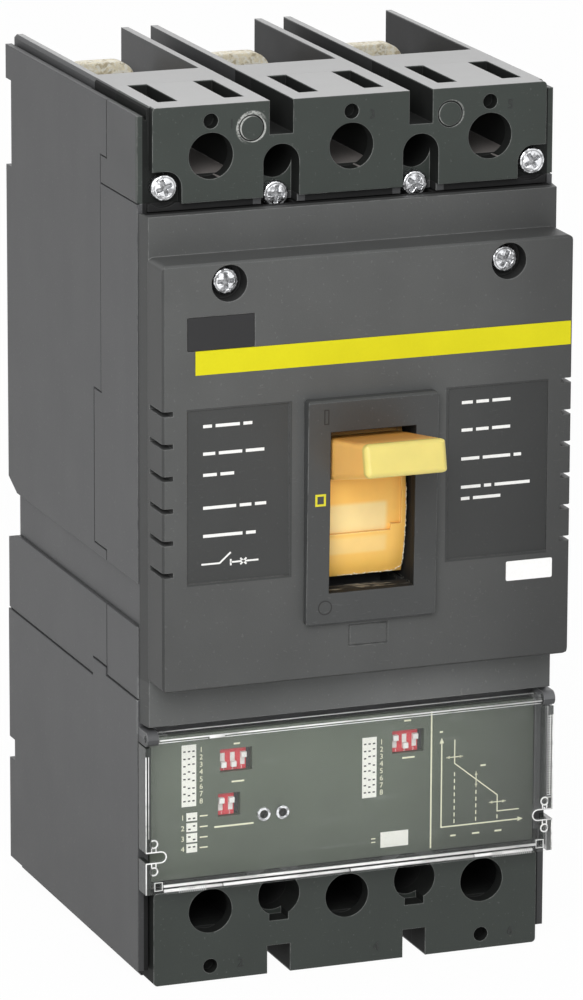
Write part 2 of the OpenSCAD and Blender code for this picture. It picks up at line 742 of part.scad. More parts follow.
// The terminal cover across the bottom, with keyhole screw wells
module lower_terminal_cover() {
    color([0.25, 0.27, 0.26]) from_bottom() difference() {
        translate([0, 0, lower_block_h / 2]) between(load_back_d, block_d)
            round_rect(2 * block_half, lower_block_h, block_r);
        lower_slots();
        mounting_wells(mount_z[0], well_low_d);
        access_ways(access_z[0], load_back_d - 1);
        gauge_holes([-pole_pitch, pole_pitch], gauge_low);
        each_slot() slab(0, notch_w, block_d - notch_l, block_d + 1, notch_z, mount_z[0]);
    }
}

// A shallow recess in the raised panel, placed by its middle and its upper edge
module label_recess(x, w, top, h) { slab(x, w, panel_d - label_l, panel_d + 1, top - h, top); }
module front_cover() {
    label_x = panel_half - label_side - label_w / 2;
    plug_top = handle_z - frame_h / 2 - plug_drop;
    color([0.30, 0.31, 0.30]) from_bottom() difference() {
        union() {
            slab(0, recess_w - 2 * seam_gap, cover_back_d, side_d + seam_gap,
                 trip_front_z + seam_gap, shoulder_top);
            translate([0, 0, shoulder_z]) linear_extrude(shoulder_top - shoulder_z) each_side()
                polygon([[0, -side_d - seam_gap + eps], [half_w - shoulder_side, -side_d - seam_gap + eps],
                    [half_w - shoulder_side - shoulder_draft, -shoulder_d], [0, -shoulder_d]]);
            bevelled_plate(2 * panel_half, panel_z, panel_top, shoulder_d - eps, panel_d, panel_r,
                panel_bevel);
        }
        slab(0, window_w, cover_back_d + window_back, panel_d + 1, handle_z - window_h / 2,
            handle_z + window_h / 2);
        intersection() {
            rod(0, pivot_d, handle_z, 2 * (shield_r + shield_room), shield_w + 2 * shield_gap);
            slab(0, case_w, cover_back_d - 1, panel_d + 1, handle_z - shield_r, handle_z + shield_r);
        }
        each_slot() slab(0, screw_room_d, cover_back_d - 1, channel_d + head_h + screw_room,
            mid_screw_z - screw_room_d / 2, shoulder_top + 1);
        each_side() {
            bore(pole_pitch, screw_z, screw_well_d, panel_d - screw_well_l, panel_d + 1);
            for (i = [0:grip_count - 1]) slab(panel_half, 2 * grip_l, shoulder_d + 1, panel_d + 1,
                panel_z + grip_low + i * grip_pitch, panel_z + grip_low + i * grip_pitch + grip_groove);
        }
        for (s = [-1, 1]) label_recess(s * label_x, label_w, panel_top - label_drop, label_h);
        label_recess(-panel_half + label_side + plate_w / 2, plate_w, strip_top + plate_h,
            plate_h);
        label_recess((strip_side + 1) / 2, 2 * panel_half - strip_side + 1, strip_top, strip_h);
        between(panel_d - label_l, panel_d + 1) difference() {
            translate([-plug_w / 2, plug_top - plug_h]) square([plug_w, plug_h]);
            translate([plug_gap - plug_w / 2, plug_top - plug_h + plug_gap])
                square([plug_w - 2 * plug_gap, plug_h - 2 * plug_gap]);
        }
    }
}

// The frame round the handle's window, standing further out at its top
module handle_frame() {
    low = handle_z - frame_h / 2;
    high = handle_z + frame_h / 2;
    color([0.25, 0.26, 0.25]) from_bottom() difference() {
        intersection() {
            translate([0, 0, handle_z]) between(panel_d, frame_d) round_rect(frame_w, frame_h, frame_r);
            across(frame_w) polygon([[-panel_d, low], [-panel_d, high], [frame_bevel - frame_d, high],
                [-frame_d, high - frame_bevel], [-panel_d - frame_low, low + frame_bevel],
                [frame_bevel - panel_d - frame_low, low]]);
        }
        slab(0, window_w, panel_d - 1, frame_d + 1, handle_z - window_h / 2, handle_z + window_h / 2);
    }
}

// The colour strip, let into its recess and wrapped to the right edge
module yellow_strip() {
    color([0.91, 0.87, 0.12]) from_bottom()
        slab((strip_side - panel_bevel) / 2, 2 * panel_half - strip_side - panel_bevel, panel_d - label_l,
             panel_d + strip_rise, strip_top - strip_h, strip_top);
}

module handle_pin() {
    color([0.7, 0.7, 0.72]) from_bottom() rod(0, pivot_d, handle_z, pivot_pin_d, pivot_pin_l);
}

// A wedge of the shield's arc, between two angles from the grip's middle line
module shield_wedge(low, high) {
    far = 2 * shield_r;
    across(case_w) polygon([[0, 0], [-far, far * tan(low)], [-far, far * tan(high)]]);
}
// How far the grip's upper or lower face stands from its middle line at the root
function root_half(s) = grip_root_t / 2 + s * grip_root_up;
// The grip's outline from the side, with a round end
module grip_side() {
    tip_z = grip_t / 2 - grip_edge_r;
    polygon([[-grip_root, -root_half(-1)], [-grip_root, root_half(1)], [-grip_tip, grip_t / 2],
        [-grip_r, tip_z], [-grip_r, -tip_z], [-grip_tip, -grip_t / 2]]);
    for (s = [-1, 1]) translate([-grip_tip, s * tip_z]) circle(grip_edge_r);
}
// A bar that rounds the grip's two long edges along its upper or its lower tapered face
module grip_bar(s) {
    taper = atan((root_half(s) - grip_t / 2) / (grip_tip - grip_root));
    translate([0, -grip_root, s * (root_half(s) + eps)]) rotate([s * taper, 0, 0])
        translate([0, 0, -s * grip_root_t]) between(-grip_r, grip_r)
            round_rect(grip_w + 2 * eps, 2 * grip_root_t, grip_side_r);
}
// The handle: grip, curved shield and the arm to its pivot, all one moulding
module handle() {
    inner = shield_r - shield_t;
    far = 2 * shield_r;
    color([0.95, 0.70, 0.36]) from_bottom() translate([0, -pivot_d, handle_z]) rotate([-handle_tilt, 0, 0])
        difference() {
            union() {
                intersection() {
                    across(grip_w) grip_side();
                    translate([0, -grip_r / 2, -grip_root_t]) linear_extrude(2 * grip_root_t)
                        round_rect(grip_w, grip_r, grip_edge_r);
                    grip_bar(1);
                    grip_bar(-1);
                }
                intersection() {
                    difference() {
                        rod(0, 0, 0, 2 * shield_r, shield_w);
                        rod(0, 0, 0, 2 * inner, shield_w + 1);
                        difference() {
                            intersection() {
                                rod(0, 0, 0, 2 * shield_r + 1, shield_w - 2 * shield_rim);
                                shield_wedge(-shield_floor, shield_floor);
                            }
                            rod(0, 0, 0, 2 * (shield_r - shield_step), shield_w);
                            for (s = [-1, 1]) intersection() {
                                slab(shield_w / 2, 2 * (shield_rim + shield_block_w), 0, far, -far, far);
                                shield_wedge(s * (shield_floor - shield_block), s * shield_half);
                            }
                        }
                    }
                    shield_wedge(-shield_half, shield_half);
                }
                slab(0, arm_w, 0, inner + eps, -arm_t / 2, arm_t / 2);
                rod(0, 0, 0, pivot_pin_d + 2 * hub_wall, hub_w);
            }
            rod(0, 0, 0, pivot_pin_d + 2 * pivot_play, hub_w + 2);
        }
}

// Where each row of slide switches stands: its left end, its upper edge, and which levers are up
dips = [[-dip_left, switch_top - dip_drop, [0, 0, 1]],
    [-dip_left - dip_shift, switch_top - dip_low_drop, [1, 1]],
    [dip_right, switch_top - dip_drop, [1, 0, 1]]];
dip_face = switch_d - dip_recess;
function dip_body_w(i) = 2 * dip_first + (len(dips[i][2]) - 1) * dip_pitch;
// Places something in front of every lever of a row, at its slot's upper edge or its lower one
module each_lever(i) {
    low = dips[i][1] - (dip_h + lever_slot_h) / 2;
    for (k = [0:len(dips[i][2]) - 1]) translate([dips[i][0] + dip_first + k * dip_pitch, 0, low]) {
        $up = dips[i][2][k];
        children();
    }
}
module dip_box(i, w, near, far, grow) {
    slab(dips[i][0] + w / 2, w + 2 * grow, near, far, dips[i][1] - dip_h - grow, dips[i][1] + grow);
}
module trip_panel() {
    color([0.40, 0.43, 0.39]) from_bottom() difference() {
        slab(0, recess_w - 2 * seam_gap, trip_floor_d, switch_d, clear_z + clear_t + panel_gap, switch_top);
        for (i = [0:2]) dip_box(i, dip_body_w(i) + dip_gap, trip_floor_d - 1, switch_d + 1, dip_play);
        each_socket() bore(0, 0, socket_d, trip_floor_d - 1, switch_d + 1);
    }
}
module dip_switch(i) {
    color([0.83, 0.25, 0.28]) from_bottom() difference() {
        dip_box(i, dip_body_w(i), trip_floor_d, dip_face, 0);
        each_lever(i) slab(0, lever_w, dip_face - lever_floor, dip_face + 1, 0, lever_slot_h);
    }
}
// The levers: a white floor in each slot, and the lever at its upper or lower end
module dip_levers(i) {
    color("white") from_bottom() each_lever(i) {
        slab(0, lever_w, dip_face - lever_floor, dip_face - lever_floor / 2, 0, lever_slot_h);
        translate([0, 0, $up * (lever_slot_h - lever_w)])
            slab(0, lever_w, dip_face - lever_floor, dip_face + lever_rise, 0, lever_w);
    }
}

module each_socket() {
    for (s = [-1, 1]) translate([s * socket_pitch / 2 - socket_x, 0, switch_top - socket_drop]) children();
}
module test_socket(s) {
    color([0.75, 0.76, 0.78]) from_bottom()
        translate([s * socket_pitch / 2 - socket_x, 0, switch_top - socket_drop]) difference() {
            bore(0, 0, socket_d, trip_floor_d, switch_d + socket_rise);
            bore(0, 0, socket_d - 2 * socket_wall, trip_floor_d + socket_wall, switch_d + socket_rise + 1);
        }
}

// The clear cover over the settings, hinged on two pins at its upper corners
module clear_cover() {
    wire_z = clear_z + wire_notch_up;
    wire_x = clear_half - wire_notch_l + wire_notch_h / 2;
    top_half = ear_x - ear_w / 2 - ear_gap;
    clear_back = side_d + seam_gap;
    color([0.8, 0.85, 0.85, 0.35]) from_bottom() difference() {
        union() {
            difference() {
                slab(0, 2 * clear_half, clear_back, clear_d, clear_z, clear_top);
                slab(0, 2 * (clear_half - clear_t), side_d, clear_d - clear_t, clear_z + clear_t,
                     clear_top + 1);
            }
            slab(0, 2 * top_half, clear_back, clear_d, clear_top - clear_t, clear_top);
            slab(0, 2 * (wire_x - 1), clear_d - eps, clear_d + rail_t, clear_z, clear_z + rail_h);
            slab(0, 2 * top_half, clear_d - eps, clear_d + rail_t, clear_top - rail_top_h, clear_top);
            each_side() for (s = [-1, 1])
                bore(clear_half - eyelet_side, wire_z + s * eyelet_up, eyelet_d, clear_d - eps,
                    clear_d + rail_t);
        }
        each_side() {
            slab(half_w, 2 * (half_w - top_half), side_d, clear_d + 1, hinge_z - ear_r - ear_gap,
                clear_top + 1);
            slab(clear_half, 2 * (clear_half - wire_x), side_d, clear_d + 1, wire_z - wire_notch_h / 2,
                 wire_z + wire_notch_h / 2);
            bore(wire_x, wire_z, wire_notch_h, side_d, clear_d + 1);
            for (s = [-1, 1]) bore(clear_half - eyelet_side, wire_z + s * eyelet_up, eyelet_hole_d,
                clear_d - clear_t - 1, clear_d + 1);
            slab(clear_half - corner_hole_side, corner_hole_w, clear_back + 1, clear_d + 1,
                clear_z + clear_t, clear_z + clear_t + corner_hole_w);
        }
    }
    color([0.8, 0.85, 0.85, 0.35]) from_bottom() each_side() {
        slab(top_half - tab_w / 2, tab_w, clear_d - tab_l, clear_d, hinge_z - ear_r,
            hinge_z + hinge_pin_d / 2);
        rod(ear_x - (tab_w + ear_gap) / 2, hinge_d, hinge_z, hinge_pin_d, ear_w + tab_w);
    }
}

// An ear of the trip unit's case that carries a hinge pin
module hinge_ear(s) {
    color([0.35, 0.36, 0.36]) from_bottom() difference() {
        union() {
            rod(s * ear_x, hinge_d, hinge_z, 2 * ear_r, ear_w);
            slab(s * ear_x, ear_w, side_d, hinge_d, hinge_z - ear_r, hinge_z + ear_r);
        }
        rod(s * ear_x, hinge_d, hinge_z, hinge_pin_d + 2 * hinge_play, ear_w + 1);
        slab(s * ear_x, ear_w + 1, side_d - ear_r, side_d, hinge_z - ear_r - 1, hinge_z + ear_r + 1);
    }
}

// A terminal bar with a round end and a bolt hole; end is 1 at the top and -1 at the bottom
module terminal(i, end) {
    z = end < 0 ? access_z[0] : access_z[1];
    edge = end < 0 ? bar_edge : case_h - bar_edge;
    inner = end < 0 ? bay_h : case_h - bay_h;
    color([0.80, 0.72, 0.52]) from_bottom() translate([(i - 2) * pole_pitch, 0, 0])
        between(bar_d - bar_t, bar_d) difference() {
            union() {
                translate([-bar_w / 2, min(inner, edge - end * bar_r)])
                    square([bar_w, abs(edge - inner) - bar_r]);
                translate([bar_r - bar_w / 2, min(inner, edge)])
                    square([bar_w - 2 * bar_r, abs(edge - inner)]);
                for (s = [-1, 1]) translate([s * (bar_w / 2 - bar_r), edge - end * bar_r]) circle(bar_r);
            }
            translate([0, z]) circle(d = bar_hole_d);
        }
}

// A pan head screw with a cross recess
module screw_head(x, z, near) {
    color([0.80, 0.81, 0.83]) from_bottom() difference() {
        bore(x, z, head_d, near, near + head_h);
        for (a = [0, 90]) translate([x, -near - head_h, z]) rotate([0, a, 0])
            cube([cross_l, 2 * cross_deep, cross_w], center = true);
    }
}
module block_screw(i) {
    if (i == 1 || i == 4) screw_head((i == 1 ? -1 : 1) * corner_screw[0], corner_screw[1], side_d);
    else screw_head((i == 2 ? -1 : 1) * slot_x, mid_screw_z, channel_d);
}
module front_screw(s) { screw_head(s * pole_pitch, screw_z, panel_d - screw_well_l); }

base_shell();
main_cover();
upper_terminal_cover();
mid_band();
lower_base();
lower_cover();
trip_housing();
lower_terminal_cover();
front_cover();
handle_frame();
yellow_strip();
handle_pin();
handle();
trip_panel();
clear_cover();
test_socket(-1);  // test_socket_left
test_socket(1);  // test_socket_right
hinge_ear(-1);  // hinge_ear_left
hinge_ear(1);  // hinge_ear_right
for (i = [1:3]) {
    dip_switch(i - 1);
    dip_levers(i - 1);
    terminal(i, 1);
    terminal(i, -1);
}
for (i = [1:4]) block_screw(i);
front_screw(-1);  // front_screw_left
front_screw(1);  // front_screw_right
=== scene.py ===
"""Finishes and fine pieces of a molded case circuit breaker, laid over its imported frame.

Sizes are in millimetres and become metres in the meshes. X runs to the right, -Y is the front
where the handle is, and Z runs up to the line terminals.
"""

import json
import math

import bmesh
import bpy
import numpy as np
from mathutils import Euler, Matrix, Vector


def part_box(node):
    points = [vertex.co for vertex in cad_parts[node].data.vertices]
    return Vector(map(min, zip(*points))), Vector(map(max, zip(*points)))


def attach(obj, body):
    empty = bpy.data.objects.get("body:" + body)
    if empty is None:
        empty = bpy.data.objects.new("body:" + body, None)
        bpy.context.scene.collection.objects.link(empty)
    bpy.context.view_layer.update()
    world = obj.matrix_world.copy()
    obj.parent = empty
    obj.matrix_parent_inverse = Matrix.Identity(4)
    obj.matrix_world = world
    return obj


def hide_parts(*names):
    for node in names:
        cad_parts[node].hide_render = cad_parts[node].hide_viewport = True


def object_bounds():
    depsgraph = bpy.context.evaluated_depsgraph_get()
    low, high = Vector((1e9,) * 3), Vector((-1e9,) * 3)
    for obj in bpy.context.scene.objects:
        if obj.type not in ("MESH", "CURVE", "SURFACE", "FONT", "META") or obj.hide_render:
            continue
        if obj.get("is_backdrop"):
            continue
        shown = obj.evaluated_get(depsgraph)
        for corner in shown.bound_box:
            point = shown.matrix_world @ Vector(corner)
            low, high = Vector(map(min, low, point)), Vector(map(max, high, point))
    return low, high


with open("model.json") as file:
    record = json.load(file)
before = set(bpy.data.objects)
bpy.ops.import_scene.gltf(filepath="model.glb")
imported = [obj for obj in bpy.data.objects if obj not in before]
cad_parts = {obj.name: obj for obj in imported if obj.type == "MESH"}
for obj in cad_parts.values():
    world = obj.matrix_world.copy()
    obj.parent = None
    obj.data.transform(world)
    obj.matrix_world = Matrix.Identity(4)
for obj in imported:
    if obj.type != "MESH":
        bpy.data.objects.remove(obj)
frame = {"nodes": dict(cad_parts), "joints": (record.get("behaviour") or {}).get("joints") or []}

bl_info = {
    "name": "Molded Case Circuit Breaker",
    "version": (1, 0, 0),
    "blender": (4, 5, 0),
    "location": "View3D > Sidebar > Breaker",
    "description": "Adds the finishes, screws, prints and stage of a molded case circuit breaker",
    "category": "Object",
}

MM = 0.001
CASE_BODY = "case"
HANDLE_BODY = "handle_body"
COVER_BODY = "cover_body"


def box_mm(node):
    """A node's lowest and highest corners at rest, in millimetres."""
    low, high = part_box(node)
    return np.array(low) / MM, np.array(high) / MM


LOW, HIGH = (np.array(corner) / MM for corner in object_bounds())
FLOOR_Z = LOW[2]
PANEL_FRONT = box_mm("front_cover")[0][1]
LABEL_FRONT = PANEL_FRONT + 0.3
FRAME_LOW, FRAME_HIGH = box_mm("handle_frame")
FRAME_LEAN = 1.2 / (FRAME_HIGH[2] - FRAME_LOW[2])
BLOCK_FRONT = box_mm("upper_terminal_cover")[0][1]
TRIP_FRONT = box_mm("trip_panel")[0][1]
COVER_LOW, COVER_HIGH = box_mm("clear_cover")
POLES = [sum(corner[0] for corner in box_mm("upper_terminal_%d" % i)) / 2 for i in (1, 2, 3)]
HANDLE_JOINT = next(joint for joint in frame["joints"] if joint["child"] == HANDLE_BODY)
PIVOT = np.array(HANDLE_JOINT["pos_m"]) / MM
COVER_JOINT = box_mm("upper_terminal_cover")[0][2]
SLOT_X = (POLES[2] - POLES[1]) / 2
FLANK = HIGH[0] - 0.9
SIDE_FRONT = BLOCK_FRONT + 4
BAY_HALF = 50.9
SHIELD_RADIUS = 52.0
WINDOW_HALF = (10.8, 19.7)
WINDOW_BACK = -40.0
CHANNEL_DEPTH = 5.5
CHANNEL_HALF = 6.5
BLOCK_BACK = -60.0
WELL_RADIUS = 4.6
FRAME_DEPTH = 1.8
FONT_OVER_DIGIT = 1.42
COVER_WALL = 1.35
DATA_SIDES = (19.4, 45.5)
FLOOR_REACH = 4000

# Heights over the lower edge: from and to, or one alone
UPPER_BAYS = (184.0, 213.3)
LOWER_BAYS = (0.3, 28.0)
FIN_TOPS = (198.0, 207.0)
CHANNEL_TOP = 203.0
CHAMBER_FLOOR = 196.7
PAINTED_LIGHT_BAND = (62.6, 76.4)
DATA_PLATES = (102.0, 144.6)
WINDOW_SILL = (96.0, 98.2)
COVER_WALL_TOP = 61.5
# Each painted reflection on the shield starts, is full, begins to fall off and ends
PAINTED_REFLECTION_SPANS = ((110.2, 111.0, 117.0, 118.4), (105.0, 106.0, 109.0, 110.4))
# The upper cover's two plugs, with their places on X
PLUGS = ((-24.6, 207.3), (25.2, 207.5))
# Where the camera looks, with its places on X and Y
AIM = (4.03, -50.0, 103.43)

# Each lamp's place and size in metres
LAMPS = (("key", (-0.25, -0.54, 0.33), 0.40, 0.40), ("rim", (0.45, 1.25, 0.62), 1.3, 0.7))

# Which of a scale's sliders are up, row by row
TIME_CODES = ((0, 0), (0, 1), (1, 0), (1, 1))
SWITCH_CODES = ((0, 0, 0), (0, 0, 1), (0, 1, 1), (0, 1, 0), (1, 1, 0), (1, 0, 0), (1, 0, 1), (1, 1, 1))


def rise(height):
    """The place on Z of a height over the lower edge."""
    return FLOOR_Z + height


def risen(points):
    """Points in X and height over the lower edge, as points in X and Z."""
    return [(x, rise(height)) for x, height in points]


# ---------------------------------------------------------------- settings


def colour(name, description, value):
    """A colour property, in linear light."""
    return bpy.props.FloatVectorProperty(
        name=name, description=description, default=value, size=len(value), subtype="COLOR", min=0, max=1
    )


def length(name, description, value, low=0.0, high=500.0):
    """A length property in millimetres."""
    return bpy.props.FloatProperty(name=name, description=description, default=value, min=low, max=high)


def angle(name, description, value):
    """An angle property, given in degrees and kept in radians."""
    return bpy.props.FloatProperty(
        name=name, description=description, default=math.radians(value), subtype="ANGLE"
    )


def amount(name, description, value, high=10.0):
    """A plain number property."""
    return bpy.props.FloatProperty(name=name, description=description, default=value, min=0.0, max=high)


class BreakerFinish(bpy.types.PropertyGroup):
    """Colours and surface scales of the mouldings and metals."""

    case: colour("Case", "Grey of the housings", (0.055, 0.056, 0.058, 1))
    front: colour("Front cover", "Grey of the front cover", (0.071, 0.073, 0.072, 1))
    block: colour("Terminal covers", "Grey of the terminal covers", (0.028, 0.034, 0.030, 1))
    frame: colour("Frame", "Grey of the frame round the handle", (0.048, 0.050, 0.050, 1))
    panel: colour("Settings panel", "Printed film behind the clear cover", (0.095, 0.115, 0.086, 1))
    handle: colour("Handle", "Orange of the handle's body", (0.99, 0.54, 0.145, 1))
    # Painted light: the grip's end is painted yellower, as its brightly lit front face
    handle_tip: colour("Handle end", "Yellow of the grip's end", (0.68, 0.57, 0.165, 1))
    strip: colour("Strip", "Yellow of the colour strip", (0.62, 0.57, 0.008, 1))
    switch: colour("Slide switches", "Red of the switch bodies", (0.62, 0.055, 0.07, 1))
    ink: colour("Ink", "Pale print on the settings panel", (0.80, 0.80, 0.60, 1))
    plates: colour("Scale plates", "White plates of the scales", (0.86, 0.87, 0.80, 1))
    label_ink: colour("Label ink", "White print on the front cover", (0.80, 0.80, 0.78, 1))
    zinc: colour("Zinc", "Plating of the screws", (0.80, 0.81, 0.83, 1))
    brass: colour("Terminals", "Plated brass of the terminal bars", (0.80, 0.73, 0.55, 1))
    grain: length("Grain", "Size of the moulded grain", 0.35)
    edge: length("Edge", "Radius of the mouldings' edges", 0.4)


class BreakerPrint(bpy.types.PropertyGroup):
    """Sizes of what is printed, embossed or stuck on."""

    line: length("Line", "Width of a printed line", 0.32)
    rule: length("Rule", "Width of a dash on the data plates", 0.75)
    word_gap: length("Gap", "Space between two dashes of a line", 0.9)
    word_rise: length("Dash height", "Height of a dash over the line it stands on", 1.1)
    lift: length("Lift", "Thickness of the ink", 0.03)
    digit: length("Digit", "Height of the scales' digits", 1.3)
    raised: length("Raised", "Height of the raised digits over the covers", 0.12)


class BreakerScrew(bpy.types.PropertyGroup):
    """Shape of the pan head screws."""

    crown: length("Crown", "Rise of the head's crown", 0.5)
    rim: length("Rim", "Radius of the head's edge", 0.55)
    slot_half: length("Slot half width", "Half the width of an arm of the cross recess", 0.42)
    slot_reach: length("Slot reach", "Length of an arm from the middle", 1.95)
    slot_depth: length("Slot depth", "Depth of the cross recess", 1.1)
    groove: amount("Groove", "Where the turned line round the crown lies, as a share of the radius", 0.78, 1)


class BreakerFlash(bpy.types.PropertyGroup):
    """The frayed flash on the handle's shield."""

    gap: length("Gap", "How far it stands off the shield's side", 0.0, -1)
    fray: length("Fray", "Size of its ragged steps", 0.22)
    top: angle("Top", "Angle of its upper end over the pivot", 5.0)
    low: angle("Low", "Angle where it turns the corner", -17.0)


class BreakerStage(bpy.types.PropertyGroup):
    """Camera, floor and light."""

    distance: length("Distance", "Camera to the point it looks at", 1592.2, 100, 5000)
    yaw: angle("Yaw", "How far the camera stands to the left of the front", 20.85)
    pitch: angle("Pitch", "How far the camera looks down", 14.68)
    roll: angle("Roll", "Turn of the camera about its own axis", 0.226)
    focal: length("Focal length", "Lens for a 36 mm long side", 234.35, 10, 1000)
    world: amount("World", "Strength of the world on the object", 0.38)
    key: amount("Key", "Strength of the large lamp", 3.3, 100)
    rim: amount("Rim", "Strength of the lamp behind and above", 2.6, 100)
    floor_glow: amount("Floor glow", "Share of plain white in the floor as it is seen", 0.975, 1)


def settings(name):
    """The scene's group of settings of that name."""
    return getattr(bpy.context.scene, name)


def tint(name):
    """A colour of the finish settings."""
    return tuple(getattr(settings("breaker_finish"), name))


# ---------------------------------------------------------------- materials


def operation(name, swapped=False):
    """A method that adds a Math node of that name to the tree of the value it is called on."""

    def method(self, *others):
        terms = (*others, self) if swapped else (self, *others)
        return self.nodes.add("ShaderNodeMath", {"operation": name}, dict(enumerate(terms)))

    return method


class Value:
    """A number, vector or colour on a node tree. Arithmetic on it adds Math nodes."""

    __add__ = __radd__ = operation("ADD")
    __sub__ = operation("SUBTRACT")
    __rsub__ = operation("SUBTRACT", swapped=True)
    __mul__ = __rmul__ = operation("MULTIPLY")
    __pow__ = operation("POWER")
    __abs__ = operation("ABSOLUTE")
    __lt__ = operation("LESS_THAN")
    __gt__ = operation("GREATER_THAN")
    higher = operation("MAXIMUM")
    lower = operation("MINIMUM")

    def __init__(self, nodes, socket):
        self.nodes = nodes
        self.socket = socket

    def clipped(self):
        """Kept from 0 to 1."""
        return self.higher(0.0).lower(1.0)

    def ramp(self, start, end):
        """0 up to start and 1 past end, with a smooth step between them."""
        ends = {"Value": self, "From Min": start, "From Max": end}
        return self.nodes.add("ShaderNodeMapRange", {"interpolation_type": "SMOOTHSTEP"}, ends)


class Nodes:
    """A node tree being made. Every node goes through add()."""

    def __init__(self, tree):
        self.tree = tree
        self.tree.nodes.clear()

    def add(self, kind, options=None, inputs=None, output=0):
        """A node of that kind, with its options set first, then its inputs set or linked."""
        node = self.tree.nodes.new(kind)
        for name, value in (options or {}).items():
            setattr(node, name, value)
        for name, value in (inputs or {}).items():
            if isinstance(value, Value):
                self.tree.links.new(value.socket, node.inputs[name])
            else:
                node.inputs[name].default_value = value
        return Value(self, node.outputs[output]) if node.outputs else None

    def seen_by(self, *rays):
        """1 for these kinds of ray, and 0 for the others."""
        mask, *others = (self.add("ShaderNodeLightPath", output="Is %s Ray" % ray) for ray in rays)
        for other in others:
            mask = mask.higher(other)
        return mask


class Finish(Nodes):
    """A material being made, with places on it in millimetres."""

    def __init__(self, name):
        self.material = bpy.data.materials.new(name)
        self.material.use_nodes = True
        super().__init__(self.material.node_tree)
        self.place = self.add("ShaderNodeTexCoord", output="Object")
        self.x, self.y, self.z = self.parts(self.shade(self.place, 1 / MM))

    def parts(self, vector):
        """A vector's X, Y and Z."""
        return [self.add("ShaderNodeSeparateXYZ", None, {0: vector}, axis) for axis in "XYZ"]

    def noise(self, size, detail=2.0, stretch=(1, 1, 1)):
        """Noise from 0 to 1 whose features are about size mm, drawn out along the stretched axes."""
        scale = [1 / (MM * size * s) for s in stretch]
        place = self.add("ShaderNodeMapping", None, {"Vector": self.place, "Scale": scale})
        return self.add("ShaderNodeTexNoise", None, {"Vector": place, "Scale": 1.0, "Detail": detail}, "Fac")

    def cells(self, size):
        """Distance from 0 up to the nearest of scattered points about size mm apart."""
        inputs = {"Vector": self.place, "Scale": 1 / (MM * size)}
        return self.add("ShaderNodeTexVoronoi", None, inputs, "Distance")

    def mix(self, mask, first, second):
        """first where the mask is 0 and second where it is 1, as colours."""
        return self.add("ShaderNodeMix", {"data_type": "RGBA"}, {"Factor": mask, "A": first, "B": second}, 2)

    def shade(self, tone, by):
        """A colour or a vector multiplied by a number."""
        tone = tone if isinstance(tone, Value) else tuple(tone)[:3]
        return self.add("ShaderNodeVectorMath", {"operation": "SCALE"}, {0: tone, "Scale": by})

    def bump(self, height, depth, normal=None):
        """A normal from a height of 0 to 1 that stands for depth mm."""
        inputs = {"Height": height, "Distance": depth * MM}
        if normal is not None:
            inputs["Normal"] = normal
        return self.add("ShaderNodeBump", None, inputs)

    def rounded(self, radius):
        """A normal that turns smoothly over the edges, and a mask of those edges."""
        soft = self.add("ShaderNodeBevel", {"samples": 6}, {"Radius": radius * MM})
        flat = self.add("ShaderNodeNewGeometry", output="Normal")
        turn = self.add("ShaderNodeVectorMath", {"operation": "DOT_PRODUCT"}, {0: soft, 1: flat}, "Value")
        return soft, (1 - turn).ramp(0.02, 0.25)

    def level(self, low, high):
        """1 between two heights over the lower edge, and 0 elsewhere."""
        return (self.z > rise(low)) * (self.z < rise(high))

    def climb(self, low, high):
        """0 up to the first height over the lower edge and 1 past the second, with a smooth step."""
        return self.z.ramp(rise(low), rise(high))

    def reach(self, x, z):
        """The distance from a line along Y."""
        dx, dz = self.x - x, self.z - z
        return (dx * dx + dz * dz) ** 0.5

    def ring(self, x, z, radius, width):
        """1 on a ring about a line along Y, and 0 elsewhere."""
        return 1 - abs(self.reach(x, z) - radius).ramp(width * 0.5, width)

    def within(self, x, z, radius):
        """1 within a circle about a line along Y, and 0 elsewhere."""
        return self.reach(x, z) < radius

    def inside(self, x, z, half_x, half_z):
        """1 within a rectangle about a line along Y, and 0 elsewhere."""
        return (abs(self.x - x) < half_x) * (abs(self.z - z) < half_z)

    def facing(self):
        """How far the surface faces the front and the sky, from -1 to 1."""
        _, back, up = self.parts(self.add("ShaderNodeNewGeometry", output="True Normal"))
        return 0 - back, up

    def shader(self, **inputs):
        """A Principled shader; underscores in names stand for spaces."""
        named = {}
        for name, value in inputs.items():
            named[name.replace("_", " ").title().replace("Ior", "IOR")] = value
        return self.add("ShaderNodeBsdfPrincipled", None, named)

    def moulding(self, tone, roughness, normal, hollow_shade):
        """The mouldings' material: a dull, rough shader, painted nearly black as shade, takes over where
        hollow_shade is 1.
        """
        outer = self.shader(base_color=tone, roughness=roughness, specular_ior_level=0.35, normal=normal)
        inner = self.shader(base_color=(0.008, 0.008, 0.008, 1), roughness=0.9, specular_ior_level=0.1)
        return self.done(self.add("ShaderNodeMixShader", None, {0: hollow_shade, 1: outer, 2: inner}))

    def done(self, shader):
        """Links the shader to the material's output and returns the material."""
        self.add("ShaderNodeOutputMaterial", None, {"Surface": shader})
        return self.material

    def surface(self, **inputs):
        """The material, where one Principled shader is all of it."""
        return self.done(self.shader(**inputs))


